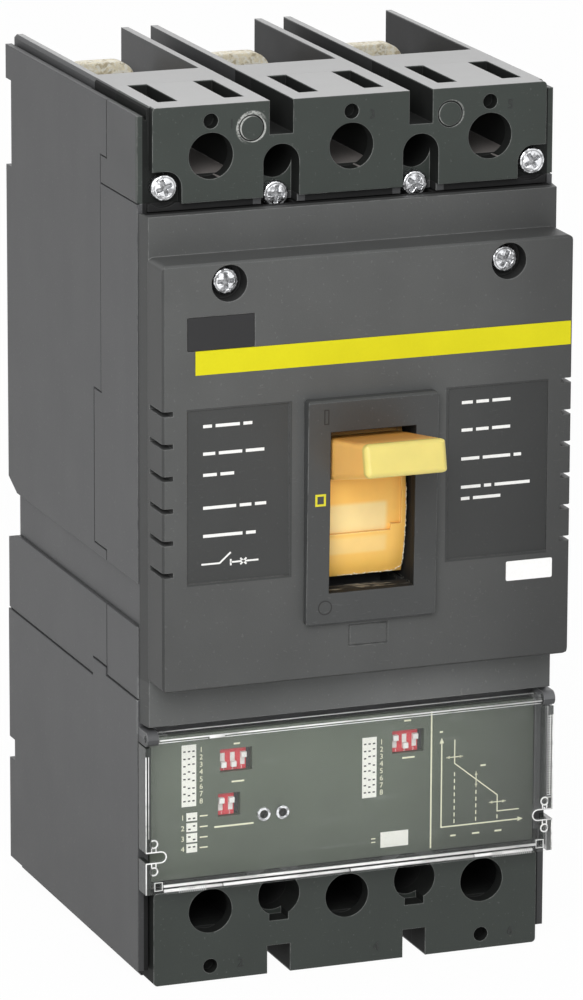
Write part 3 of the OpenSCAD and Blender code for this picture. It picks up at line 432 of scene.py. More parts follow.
def hollows(finish, patchy):
    """Three masks of painted light and shade on a moulding. The first, painted shade, is 1 on the inner
    walls of the bays, slots, wells and window, which are also made rough and dull, apart from the barriers'
    top faces and the seats in the screw wells' channels. The second, painted light, is on the key chamber
    floors, and the third, painted sheen, on the top faces."""
    front, up = finish.facing()
    within = (finish.y > BLOCK_FRONT + 0.3) * (abs(finish.x) < BAY_HALF)
    fins = (finish.y > BLOCK_BACK) * finish.climb(*FIN_TOPS) * (0.95 - finish.x.ramp(-30, 25) * 0.6)
    ends = (finish.level(*UPPER_BAYS) * (1 - fins)).higher(finish.level(*LOWER_BAYS))
    channels = (abs(abs(finish.x) - SLOT_X) < CHANNEL_HALF) * (finish.z < rise(CHANNEL_TOP))
    seats = (front > 0.9) * (finish.y < BLOCK_FRONT + CHANNEL_DEPTH + 0.3) * channels
    lit_chamber_floors = (up > 0.9) * (abs(finish.z - rise(CHAMBER_FLOOR)) < 0.4) * (finish.y < BLOCK_BACK)
    bays = within * ends * (1 - seats.higher(lit_chamber_floors)) * (0.74 + patchy * 0.2)
    # Painted shade in the handle's window, below and beside the shield
    window = finish.inside(0, PIVOT[2], *WINDOW_HALF) * (finish.y < WINDOW_BACK) * 0.78
    return bays.higher(window), lit_chamber_floors, (up > 0.9) * (finish.z > rise(UPPER_BAYS[1]))


def moulded(name, tone, roughness, streaks):
    """Grained thermoset: mottled, with fine grain, faint flow streaks, dust, hair scratches, paler edges
    that are partly wear and partly painted highlight, painted shade along the seam lines of its sides,
    painted sheen on its top faces, painted light on the key chamber floors and painted shade in its
    recesses. Gives the finish, colour, roughness, normal and the mask of the painted shade in the recesses."""
    look = settings("breaker_finish")
    finish = Finish(name)
    grain = finish.noise(look.grain, 3)
    broad = finish.noise(14, 3)
    flow = finish.noise(5, 2, (1, 1, 9))
    dust = finish.noise(0.8, 1).ramp(0.70, 0.76)
    hair = finish.noise(2.2, 2, (1, 1, 0.12)).ramp(0.66, 0.72) * finish.noise(9).ramp(0.5, 0.62)
    soft, edges = finish.rounded(look.edge)
    side = abs(finish.x) > FLANK
    edges = edges * (1 - side * (abs(finish.z - COVER_JOINT) < 1.0))
    rim = (finish.z > HIGH[2] - 1).higher(finish.z < FLOOR_Z + 1).higher(finish.y > -1)
    seam_shade_zone = side * (finish.y > SIDE_FRONT) * (1 - rim)
    wear_and_highlight = edges * (1 - seam_shade_zone) * finish.noise(2.5, 3).ramp(0.25, 0.55)
    hollow_shade, lit_chamber_floors, painted_sheen_tops = hollows(finish, broad)
    body = finish.shade(tone, 0.80 + broad * 0.28 + grain * 0.16 + flow * streaks)
    # Pale marks: real dust and hair scratches, and edges that are partly wear and partly painted highlight
    body = finish.mix((wear_and_highlight * 0.85 + dust * 0.14 + hair * 0.16).clipped(), body, (0.22, 0.225, 0.22, 1))
    # Painted shade: the edges along the side seam lines are painted nearly black, as the shade in the seam
    # gaps
    body = finish.mix(edges * seam_shade_zone * 0.9, body, (0.004, 0.004, 0.004, 1))
    # Painted light: the key chamber floors are painted paler, as if lit through the bores
    body = finish.mix(lit_chamber_floors * 0.6, body, (0.33, 0.30, 0.29, 1))
    # Painted sheen: the top faces are painted pale, as the sheen they catch
    body = finish.mix(painted_sheen_tops * (0.72 + broad * 0.2), body, (0.50, 0.50, 0.50, 1))
    rough = roughness + broad * 0.10 + grain * 0.08 - edges * 0.08
    normal = finish.bump(grain * 0.7 + dust * 0.5 - hair * 0.4, 0.03, soft)
    return finish, body, rough, normal, hollow_shade


def paint(material, *nodes):
    """Gives CAD nodes a material."""
    for node in nodes:
        frame["nodes"][node].data.materials.clear()
        frame["nodes"][node].data.materials.append(material)


def lit_band(finish, tone):
    """Painted light on the band under the raised panel, paler towards the right."""
    band = finish.level(*PAINTED_LIGHT_BAND) * (finish.y < COVER_LOW[1] + 7)
    return finish.shade(tone, 1 + band * (0.5 + (finish.x + 30).ramp(0.0, 60.0) * 0.7))


def case_grey():
    """The housings' moulding, with painted shade darker towards its lower edge and painted light on the band
    under the raised panel.
    """
    finish, tone, roughness, normal, hollow_shade = moulded("case_grey", tint("case"), 0.38, 0.16)
    # Painted shade: darker towards the lower edge
    shade_to_foot = 0.56 + finish.climb(-15, 78) * 0.44
    tone = finish.shade(lit_band(finish, tone), shade_to_foot)
    return finish.moulding(tone, roughness, normal, hollow_shade)


def cover_grey():
    """The front cover's moulding: its two data plates are darker and smoother, the sill of the handle's
    window has streaks of wear, painted light falls on the band under the raised panel, and painted shade
    darkens it to the right, downwards, over the bevel faces and in the screw wells."""
    finish, tone, roughness, normal, hollow_shade = moulded("cover_grey", tint("front"), 0.42, 0.06)
    side = abs(finish.x)
    sunk = finish.y > PANEL_FRONT + 0.4
    plates = (side > DATA_SIDES[0]) * (side < DATA_SIDES[1]) * finish.level(*DATA_PLATES)
    plates = plates * (finish.y < LABEL_FRONT + 0.15)
    tone = finish.mix(plates * 0.54, lit_band(finish, tone), (0.012, 0.013, 0.013, 1))
    sill = (side < 11) * finish.level(*WINDOW_SILL) * sunk
    streaks = finish.noise(1.0, 3, (7, 1, 1)).ramp(0.54, 0.64) * sill
    tone = finish.mix(streaks * 0.8, tone, (0.34, 0.33, 0.28, 1))
    # Painted shade: darker to the right, downwards and on the bevel faces that turn from the front
    front, up = finish.facing()
    shaded_bevels = (1 - front.ramp(0.8, 0.98)) * (1 - up.ramp(0.3, 0.6))
    shade_below = 1 - finish.climb(70, 150)
    tone = finish.shade(tone, 1 - finish.x.ramp(20.0, 50.0) * 0.34 - shaded_bevels * 0.42 - shade_below * 0.14)
    # Painted shade in the two screw wells
    for screw in ("front_screw_left", "front_screw_right"):
        middle = np.mean(box_mm(screw), 0)
        hollow_shade = hollow_shade.higher(finish.within(middle[0], middle[2], WELL_RADIUS) * sunk * 0.72)
    return finish.moulding(tone, roughness - plates * 0.06, normal, hollow_shade * (1 - streaks * 0.8))


def frame_grey():
    """The frame's smooth moulding."""
    finish, tone, roughness, normal, hollow_shade = moulded("frame_grey", tint("frame"), 0.34, 0.05)
    return finish.moulding(tone, roughness, normal, hollow_shade)


def block_grey():
    """Smoother and darker moulding, with pale rubbing round the two plugs of the upper cover, and with
    the case's grey on its flanks."""
    finish, tone, roughness, normal, hollow_shade = moulded("block_grey", tint("block"), 0.36, 0.05)
    fray = finish.noise(0.5, 4)
    front = finish.y < BLOCK_FRONT + 0.3
    (x, z), other = risen(PLUGS)
    lean = ((finish.z - z) - (finish.x - x)).ramp(-3.0, 4.5)
    line = finish.ring(x, z, 3.05, 0.3) * fray.ramp(0.25, 0.50)
    rubbed = finish.ring(x - 0.1, z + 0.1, 3.45, 0.8) * fray.ramp(0.34, 0.58) * lean
    faint = finish.ring(*other, 3.1, 0.25) * fray.ramp(0.30, 0.6) * 0.4
    mask = (line.higher(rubbed).higher(faint) * 0.85 * front).clipped()
    tone = finish.mix(mask, tone, (0.42, 0.43, 0.41, 1))
    flank = (abs(finish.x) > FLANK) * (finish.y > SIDE_FRONT)
    tone = finish.mix(flank * 0.9, tone, tint("case"))
    return finish.moulding(tone, roughness, normal, hollow_shade)


def panel_film():
    """Printed film, mottled and finely grained, with painted light paler towards the top and painted shade
    darker to the right.
    """
    finish = Finish("panel_film")
    mottle = finish.noise(7, 4)
    fine = finish.noise(0.4, 2)
    # Real mottle and grain, with painted light rising towards the top
    mottle_and_light = 0.80 + mottle * 0.26 + fine * 0.10 + (finish.z - rise(46)) * 0.013
    # Painted shade: darker to the right
    shade_right = 1 - finish.x.ramp(8.0, 50.0) * 0.52
    tone = finish.shade(tint("panel"), mottle_and_light * shade_right)
    return finish.surface(base_color=tone, roughness=0.36 + mottle * 0.1, normal=finish.bump(fine, 0.01))


def clear_plastic():
    """Clear moulding: nearly nothing face on, with a faint haze, a few scuffs and a painted highlight that
    makes its edges pale and less clear. Its side walls are painted nearly black, as a painted reflection of
    the dark case."""
    finish = Finish("clear_plastic")
    soft, edges = finish.rounded(0.25)
    scuff = finish.noise(3, 5, (4, 1, 1)).ramp(0.62, 0.72)
    haze = finish.noise(15, 3)
    walls = (abs(finish.x) > COVER_HIGH[0] - COVER_WALL) * (finish.z < rise(COVER_WALL_TOP))
    # Painted reflection: the side walls are painted nearly black, as the dark case they mirror
    tone = finish.mix(walls, (0.80, 0.83, 0.81, 1), (0.035, 0.04, 0.036, 1))
    # Painted highlight: the edges are made pale and more opaque
    alpha = (0.02 + haze * 0.02 + scuff * 0.03 + edges * 0.35).higher(walls * (0.62 + haze * 0.3)).clipped()
    return finish.surface(base_color=tone, roughness=0.06 + scuff * 0.2, ior=1.5, alpha=alpha, normal=soft)


def clear_rim(name="clear_rim", body=0.9):
    """The cover's edges, where the clear plastic gathers light, as a painted highlight: pale, glossy and
    streaked along X.
    """
    finish = Finish(name)
    streak = finish.noise(1.2, 3, (6, 1, 1))
    tone = finish.shade((0.90, 0.90, 0.89), 0.62 + streak * 0.7)
    alpha = (streak.ramp(0.30, 0.45) * 0.4 + body * 0.75).clipped()
    return finish.surface(base_color=tone, roughness=0.12 + streak * 0.1, ior=1.5, alpha=alpha)


def handle_plastic():
    """Warm translucent moulding, orange along the arm. Painted light makes the grip's end paler and yellower
    and the whole shield brighter, with two painted reflections across the shield and a painted highlight on
    the edges;
    painted shade darkens the shield's right side and lower end, the grip's top face and the shield over the
    grip."""
    finish = Finish("handle_plastic")
    dy, dz = finish.y - PIVOT[1], finish.z - PIVOT[2]
    reach = (dy * dy + dz * dz) ** 0.5
    cloud = finish.noise(5, 3)
    fine = finish.noise(0.5, 2)
    # Painted light: the grip's end turns paler and yellower
    lit_tip = (reach + cloud * 0.8).ramp(77.3, 78.6)
    soft, edges = finish.rounded(0.35)
    tone = finish.mix(lit_tip, tint("handle"), tint("handle_tip"))
    shield = reach < SHIELD_RADIUS + 1
    upper, lower = (finish.climb(*ends[:2]) * (1 - finish.climb(*ends[2:])) for ends in PAINTED_REFLECTION_SPANS)
    across = 1 - finish.x.ramp(4.8, 6.2)
    painted_reflections = (upper + lower * 0.5) * across * shield
    # Painted light: the whole shield is painted brighter, against the shade of the grip and the window
    tone = finish.mix(shield * 0.7, tone, (1.0, 0.60, 0.12, 1))
    # Painted reflections: two pale patches across the shield
    tone = finish.mix(painted_reflections * 0.8, tone, (0.95, 0.77, 0.38, 1))
    # Painted shade: darker towards the shield's right side and its lower end
    painted_shade = shield * (finish.x.ramp(6.0, 10.0) * 0.35 + (1 - finish.climb(99, 104)) * 0.15)
    tone = finish.mix(painted_shade, tone, (0.62, 0.34, 0.07, 1))
    # Painted shade on the grip's top face, where the frame shades it
    top = finish.facing()[1].ramp(0.6, 0.9) * (1 - reach.ramp(70.0, 79.0)) * 0.66
    tone = finish.mix(top, tone, (0.56, 0.22, 0.03, 1))
    # Painted shadow of the frame's top on the shield over the grip
    tone = finish.mix(shield * (finish.z > rise(126)) * 0.7, tone, (0.36, 0.16, 0.05, 1))
    # Painted highlight: the edges are painted pale
    tone = finish.mix((edges * 0.5).clipped(), tone, (0.93, 0.82, 0.40, 1))
    tone = finish.shade(tone, 0.93 + cloud * 0.14)
    return finish.surface(
        base_color=tone,
        roughness=0.30 + cloud * 0.10,
        subsurface_weight=0.12,
        subsurface_radius=(0.004, 0.002, 0.0007),
        subsurface_scale=1.0,
        normal=finish.bump(fine, 0.015, soft),
    )


def paper():
    """A blank white label with faint fibre."""
    finish = Finish("paper")
    fibre = finish.noise(0.6, 4)
    tone = finish.shade((0.90, 0.90, 0.89), 0.96 + fibre * 0.08)
    return finish.surface(base_color=tone, roughness=0.5 + fibre * 0.1, normal=finish.bump(fibre, 0.01))


def strip_paint():
    """The colour strip's print, slightly clouded."""
    finish = Finish("strip_paint")
    cloud = finish.noise(9, 3)
    fine = finish.noise(0.5, 2)
    tone = finish.shade(tint("strip"), 0.92 + cloud * 0.12 + fine * 0.06)
    rough = 0.35 + cloud * 0.12
    normal = finish.bump(fine, 0.01)
    return finish.surface(base_color=tone, roughness=rough, specular_ior_level=0.2, normal=normal)


def plain_plastic(name, tone, size=0.6, roughness=0.4):
    """A small satin moulding with a little mottle and a faint painted highlight on its edges."""
    finish = Finish(name)
    cloud = finish.noise(size, 3)
    soft, edges = finish.rounded(0.12)
    # Painted highlight: the edges are a little paler
    body = finish.shade(tone, 0.88 + cloud * 0.2 + edges * 0.1)
    normal = finish.bump(cloud, 0.01, soft)
    return finish.surface(base_color=body, roughness=roughness + cloud * 0.1, normal=normal)


def ink(name, tone):
    """Screen print, a little broken up."""
    finish = Finish(name)
    cloud = finish.noise(0.5, 3)
    body = finish.shade(tone, 0.90 + cloud * 0.18)
    return finish.surface(base_color=body, roughness=0.5 + cloud * 0.1)


def zinc(name="zinc", holes=(), dark=0.6):
    """Bright plating over a turned head, crinkled, with dull patches; the cross recess, the turned line and
    any holes, given as their middles on X and Z and their radius, are painted dark to that share as painted
    shade."""
    finish = Finish(name)
    cloud = finish.noise(0.6, 3)
    crinkle = finish.cells(1.1)
    patches = finish.noise(1.1, 3).ramp(0.48, 0.58)
    soft = finish.rounded(0.1)[0]
    painted_shade = finish.add("ShaderNodeAttribute", {"attribute_name": "recess"}, None, "Fac")
    for hole in holes:
        painted_shade = painted_shade.higher(finish.within(*hole))
    tone = finish.shade(tint("zinc"), 0.98 + cloud * 0.3 - patches * 0.62)
    # Painted shade in the cross recess, the turned line and the holes
    tone = finish.mix((painted_shade * dark).clipped(), tone, (0.02, 0.02, 0.02, 1))
    bare = (1 - painted_shade * dark).clipped()
    normal = finish.bump(cloud * 0.6 + crinkle, 0.14, soft)
    return finish.surface(base_color=tone, metallic=bare, roughness=0.16 + cloud * 0.2, normal=normal)


def brass():
    """Plated brass, blotched where the plating is thin, with white bloom and paler edges."""
    finish = Finish("brass")
    speckle = finish.noise(0.8, 5)
    spots = finish.noise(1.7, 5).ramp(0.50, 0.60)
    white = finish.noise(1.0, 4).ramp(0.48, 0.58)
    soft, edges = finish.rounded(0.5)
    tone = finish.shade(tint("brass"), 0.75 + speckle * 0.5)
    tone = finish.mix(spots * 0.6, tone, (0.34, 0.27, 0.15, 1))
    tone = finish.mix((white * 0.75 + edges * 0.5).clipped(), tone, (0.88, 0.86, 0.77, 1))
    normal = finish.bump(speckle, 0.1, soft)
    return finish.surface(base_color=tone, metallic=0.25, roughness=0.42 + speckle * 0.2, normal=normal)


# ---------------------------------------------------------------- shapes


def grid_mesh(points, wrap_u=False, wrap_v=False):
    """Points and triangles over a grid of points in mm, of shape rows x columns x 3."""
    rows, columns = points.shape[:2]
    u = np.arange(rows if wrap_u else rows - 1)[:, None]
    v = np.arange(columns if wrap_v else columns - 1)[None, :]
    u1 = (u + 1) % rows
    v1 = (v + 1) % columns
    corners = [u * columns + v, u * columns + v1, u1 * columns + v1, u1 * columns + v]
    quads = np.stack([np.broadcast_to(c, (u.size, v.size)).ravel() for c in corners], 1)
    return points.reshape(-1, 3) * MM, np.concatenate([quads[:, [0, 1, 2]], quads[:, [0, 2, 3]]])


def placed(name, data):
    """A new object in the scene."""
    piece = bpy.data.objects.new(name, data)
    bpy.context.scene.collection.objects.link(piece)
    return piece


def joined(name, parts, body, material, smooth=False, recess=None):
    """One object from several (points, triangles) meshes, riding on a body. A recess of 0 to 1 for
    each point becomes an attribute of that name."""
    mesh = bpy.data.meshes.new(name)
    starts = np.cumsum([0] + [len(points) for points, _ in parts])
    points = np.concatenate([part[0] for part in parts])
    faces = np.concatenate([part[1] + start for part, start in zip(parts, starts)])
    mesh.from_pydata(points.tolist(), [], faces.tolist())
    if recess is not None:
        mesh.attributes.new("recess", "FLOAT", "POINT").data.foreach_set("value", recess)
    mesh.polygons.foreach_set("use_smooth", np.full(len(mesh.polygons), smooth))
    mesh.materials.append(material)
    weld = bmesh.new()
    weld.from_mesh(mesh)
    bmesh.ops.remove_doubles(weld, verts=weld.verts, dist=1e-6)
    bmesh.ops.recalc_face_normals(weld, faces=weld.faces)
    weld.to_mesh(mesh)
    weld.free()
    piece = placed(name, mesh)
    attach(piece, body)
    return piece


def circle_points(x, z, radius, count=40):
    """Points round a circle, closed."""
    turn = np.linspace(0, 2 * math.pi, count + 1)
    return np.stack([x + radius * np.cos(turn), z + radius * np.sin(turn)], 1)


def stroke(points, width, front, lift):
    """A line of ink: a rectangle of that width and lift, carried along points in X and Z that lie on
    the plane y = front, and mitred at the corners. A closed line ends where it starts."""
    p = np.array(points, float)
    closed = np.allclose(p[0], p[-1])
    if closed:
        p = p[:-1]
    ahead = np.roll(p, -1, 0) - p
    behind = p - np.roll(p, 1, 0)
    if not closed:
        ahead[-1] = ahead[-2]
        behind[0] = behind[1]
    ahead /= np.linalg.norm(ahead, axis=1)[:, None]
    behind /= np.linalg.norm(behind, axis=1)[:, None]
    side = np.stack([-ahead[:, 1], ahead[:, 0]], 1)
    across = np.stack([-(ahead + behind)[:, 1], (ahead + behind)[:, 0]], 1)
    across /= np.linalg.norm(across, axis=1)[:, None]
    reach = across * (width / 2 / np.maximum(np.abs((across * side).sum(1)), 0.35))[:, None]
    lines = ((p + reach, front), (p + reach, front - lift), (p - reach, front - lift), (p - reach, front))
    ring = np.stack([np.stack([line[:, 0], np.full(len(p), y), line[:, 1]], 1) for line, y in lines], 1)
    if not closed:
        middle = ring.mean(1, keepdims=True).repeat(4, 1)
        ring = np.concatenate([middle[:1], ring, middle[-1:]])
    return grid_mesh(ring, wrap_u=closed, wrap_v=True)


def tablet(outline, front, lift, bevel=0.0):
    """A flat plate on the plane y = front. Along the first parameter it runs from the middle of the
    back over the edge, with its bevel, to the middle of the front; the second follows the outline."""
    p = np.array(outline, float)
    middle = p.mean(0)
    shrink = 1 - bevel / np.linalg.norm(p - middle, axis=1).min()
    top = front - lift
    rows = ((0.0, front), (1.0, front), (1.0, top + bevel), (shrink, top), (0.0, top))
    ring = [np.insert(middle + (p - middle) * size, 1, y, axis=1) for size, y in rows]
    return grid_mesh(np.stack(ring), wrap_v=True)


def rectangle(left, right, low, high, radius=0.0):
    """The outline of a rectangle with round corners, as four quarter circles."""
    turn = np.linspace(0, math.pi / 2, 5 if radius else 1)
    corners = ((right, high, 0), (left, high, 1), (left, low, 2), (right, low, 3))
    points = []
    for x, z, quarter in corners:
        centre = (x - radius if x == right else x + radius, z - radius if z == high else z + radius)
        at = turn + quarter * math.pi / 2
        points.append(np.stack([centre[0] + radius * np.cos(at), centre[1] + radius * np.sin(at)], 1))
    return np.concatenate(points)


def tube(path, radius, sides=8):
    """A bead: a circle of the radius carried along the path, square to it, closed to a point at each
    end. Its spokes start from the path's direction crossed with Y, or with X where the path runs on Y."""
    p = np.array(path, float)
    closed = np.allclose(p[0], p[-1])
    along = np.roll(p[:-1], -1, 0) - np.roll(p[:-1], 1, 0) if closed else np.gradient(p, axis=0)
    if closed:
        p = p[:-1]
    along /= np.linalg.norm(along, axis=1)[:, None]
    reference = np.where(np.abs(along[:, 1:2]) > 0.9, [[1.0, 0.0, 0.0]], [[0.0, 1.0, 0.0]])
    first = np.cross(along, reference)
    first /= np.linalg.norm(first, axis=1)[:, None]
    second = np.cross(along, first)
    turn = np.linspace(0, 2 * math.pi, sides, endpoint=False)[None, :, None]
    size = np.broadcast_to(np.asarray(radius, float), (len(p),))[:, None, None]
    ring = p[:, None, :] + size * (np.cos(turn) * first[:, None, :] + np.sin(turn) * second[:, None, :])
    if not closed:
        ends = p[:, None, :].repeat(sides, 1)
        ring = np.concatenate([ends[:1], ring, ends[-1:]])
    return grid_mesh(ring, wrap_u=closed, wrap_v=True)


def on_face(points, y):
    """Points in X and Z as points in space at that depth."""
    return np.insert(np.array(points, float), 1, y, axis=1)


def lettering(text, x, z, height, front, lift):
    """Plain digits as a closed mesh, with their lower edge at z, standing on y = front."""
    data = bpy.data.curves.new("digits", "FONT")
    data.body = text
    data.size = height * FONT_OVER_DIGIT * MM
    data.extrude = lift / 2 * MM
    data.resolution_u = 3
    holder = bpy.data.objects.new("digits", data)
    mesh = bpy.data.meshes.new_from_object(holder)
    co = np.zeros(len(mesh.vertices) * 3)
    mesh.vertices.foreach_get("co", co)
    co = co.reshape(-1, 3)
    points = np.stack([co[:, 0] + x * MM, (front - lift / 2) * MM - co[:, 2], co[:, 1] + z * MM], 1)
    mesh.calc_loop_triangles()
    faces = np.zeros(len(mesh.loop_triangles) * 3, int)
    mesh.loop_triangles.foreach_get("vertices", faces)
    bpy.data.objects.remove(holder)
    bpy.data.curves.remove(data)
    bpy.data.meshes.remove(mesh)
    return points, faces.reshape(-1, 3)


def arrow_head(x, z, dx, dz, size, front, lift):
    """A filled arrow head with its point at x, z and its back edge square to its way."""
    way = np.array([dx, dz], float) / math.hypot(dx, dz)
    side = np.array([-way[1], way[0]])
    back = np.array([x, z]) - way * size
    return tablet([(x, z), back + side * size * 0.42, back - side * size * 0.42], front, lift)


class Print:
    """Ink on the plane y = front. Its places are given in X and in height over the lower edge."""

    def __init__(self, front, lift):
        self.front = front
        self.lift = lift
        self.parts = []

    def line(self, points, width):
        """A line carried along the points."""
        self.parts.append(stroke(risen(points), width, self.front, self.lift))

    def block(self, left, right, low, high):
        """A filled rectangle."""
        outline = rectangle(left, right, rise(low), rise(high))
        self.parts.append(tablet(outline, self.front, self.lift))

    def digits(self, number, x, low, height):
        """A number that stands on the height low."""
        self.parts.append(lettering(str(number), x, rise(low), height, self.front, self.lift))

    def arrow(self, x, height, dx, dz, size):
        """An arrow head with its point at the place."""
        self.parts.append(arrow_head(x, rise(height), dx, dz, size, self.front, self.lift))

    def join(self, name, material, slot):
        """One object on the case, from all that was laid."""
        joined(name, self.parts, CASE_BODY, material)


def pan_head(node, turn):
    """A pan head over a polar grid. Along the first parameter the profile runs from the crown's middle
    over the rounded rim, down the side and back under; the second goes round. The cross recess lowers
    the crown where the place, turned with the cross, lies within an arm's half width and reach."""
    shape = settings("breaker_screw")
    low, high = box_mm(node)
    centre_x, _, centre_z = (low + high) / 2
    radius = (high[0] - low[0]) / 2
    tall = high[1] - low[1]
    inner = np.linspace(0, radius - shape.rim, 26)
    rim = np.linspace(0, math.pi / 2, 8)[1:]
    r = np.concatenate([inner, radius - shape.rim + shape.rim * np.sin(rim), [radius, 0.0]])
    crown = shape.crown * (1 - (inner / radius) ** 2)
    body = tall - shape.crown
    h = np.concatenate([body + crown, body + crown[-1] - shape.rim * (1 - np.cos(rim)), [0.0, 0.0]])
    phi = np.linspace(0, 2 * math.pi, 97)[:-1]
    x = r[:, None] * np.cos(phi)
    z = r[:, None] * np.sin(phi)
    along = x * math.cos(turn) + z * math.sin(turn)
    cross = z * math.cos(turn) - x * math.sin(turn)

    def arm(a, b):
        wall = 1 - np.clip((np.abs(a) - shape.slot_half + 0.1) / 0.2, 0, 1)
        end = 1 - np.clip((np.abs(b) - shape.slot_reach + 0.25) / 0.35, 0, 1)
        return wall * end

    crowned = np.arange(len(r)) < len(inner)
    recess = np.maximum(arm(along, cross), arm(cross, along)) * crowned[:, None]
    height = h[:, None] - shape.slot_depth * recess
    # The turned line is not shaped: it only joins the recess, which the plating paints dark as painted shade
    groove = crowned & (np.abs(r - shape.groove * radius) < 0.16)
    recess = np.maximum(recess, groove[:, None])
    points = np.stack([centre_x + x, high[1] - height, centre_z + z], 2)
    return grid_mesh(points, wrap_v=True), recess.ravel()


# ---------------------------------------------------------------- operators


class BREAKER_OT_mouldings(bpy.types.Operator):
    """Finishes the grey housings, covers and the settings panel"""

    bl_idname = "breaker.mouldings"
    bl_label = "Finish the Mouldings"

    def execute(self, context):
        paint(
            case_grey(), "base_shell", "main_cover", "mid_band", "lower_base", "lower_cover",
            "trip_housing", "hinge_ear_left", "hinge_ear_right",
        )
        paint(cover_grey(), "front_cover")
        paint(block_grey(), "upper_terminal_cover", "lower_terminal_cover")
        paint(frame_grey(), "handle_frame")
        paint(panel_film(), "trip_panel")
        paint(clear_plastic(), "clear_cover")
        paint(strip_paint(), "yellow_strip")
        return {"FINISHED"}


class BREAKER_OT_handle(bpy.types.Operator):
    """Finishes the toggle handle"""

    bl_idname = "breaker.handle"
    bl_label = "Finish the Handle"

    def execute(self, context):
        paint(handle_plastic(), "handle")
        return {"FINISHED"}


class BREAKER_OT_metal(bpy.types.Operator):
    """Adds the screw heads and finishes the terminal bars, sockets and pin"""

    bl_idname = "breaker.metal"
    bl_label = "Add Screws and Finish Metals"

    def execute(self, context):
        plate = zinc()
        screws = [node for node in sorted(frame["nodes"]) if "screw" in node]
        for index, node in enumerate(screws):
            part, recess = pan_head(node, 0.35 + 1.1 * index)
            head = joined(node + "_head", [part], CASE_BODY, plate, True, recess)
            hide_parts(node)
        paint(plate, "handle_pin")
        sockets = ("test_socket_left", "test_socket_right")
        middles = [np.mean(box_mm(node), 0) for node in sockets]
        paint(zinc("socket_metal", [(middle[0], middle[2], 1.05) for middle in middles], 0.97), *sockets)
        paint(brass(), *[node for node in frame["nodes"] if "_terminal_" in node and "cover" not in node])
        return {"FINISHED"}


class BREAKER_OT_switches(bpy.types.Operator):
    """Finishes the slide switches and their sliders, and adds their digits"""

    bl_idname = "breaker.switches"
    bl_label = "Finish the Slide Switches"

    def execute(self, context):
        paint(plain_plastic("switch_red", tint("switch")), *["dip_switch_%d" % i for i in (1, 2, 3)])
        white = plain_plastic("lever_white", (0.80, 0.80, 0.77, 1))
        paint(white, *["dip_levers_%d" % i for i in (1, 2, 3)])
        digits = []
        for index, count in ((1, 3), (2, 2), (3, 3)):
            low, high = box_mm("dip_switch_%d" % index)
            pitch = (high[0] - low[0]) / count
            for lever in range(count):
                x = low[0] + pitch * (lever + 0.5)
                digits.append(lettering(str(lever + 1), x - 0.3, low[2] + 0.12, 0.75, low[1], 0.03))
        joined("switch_digits", digits, CASE_BODY, ink("switch_ink", (0.80, 0.72, 0.70, 1)))
        return {"FINISHED"}


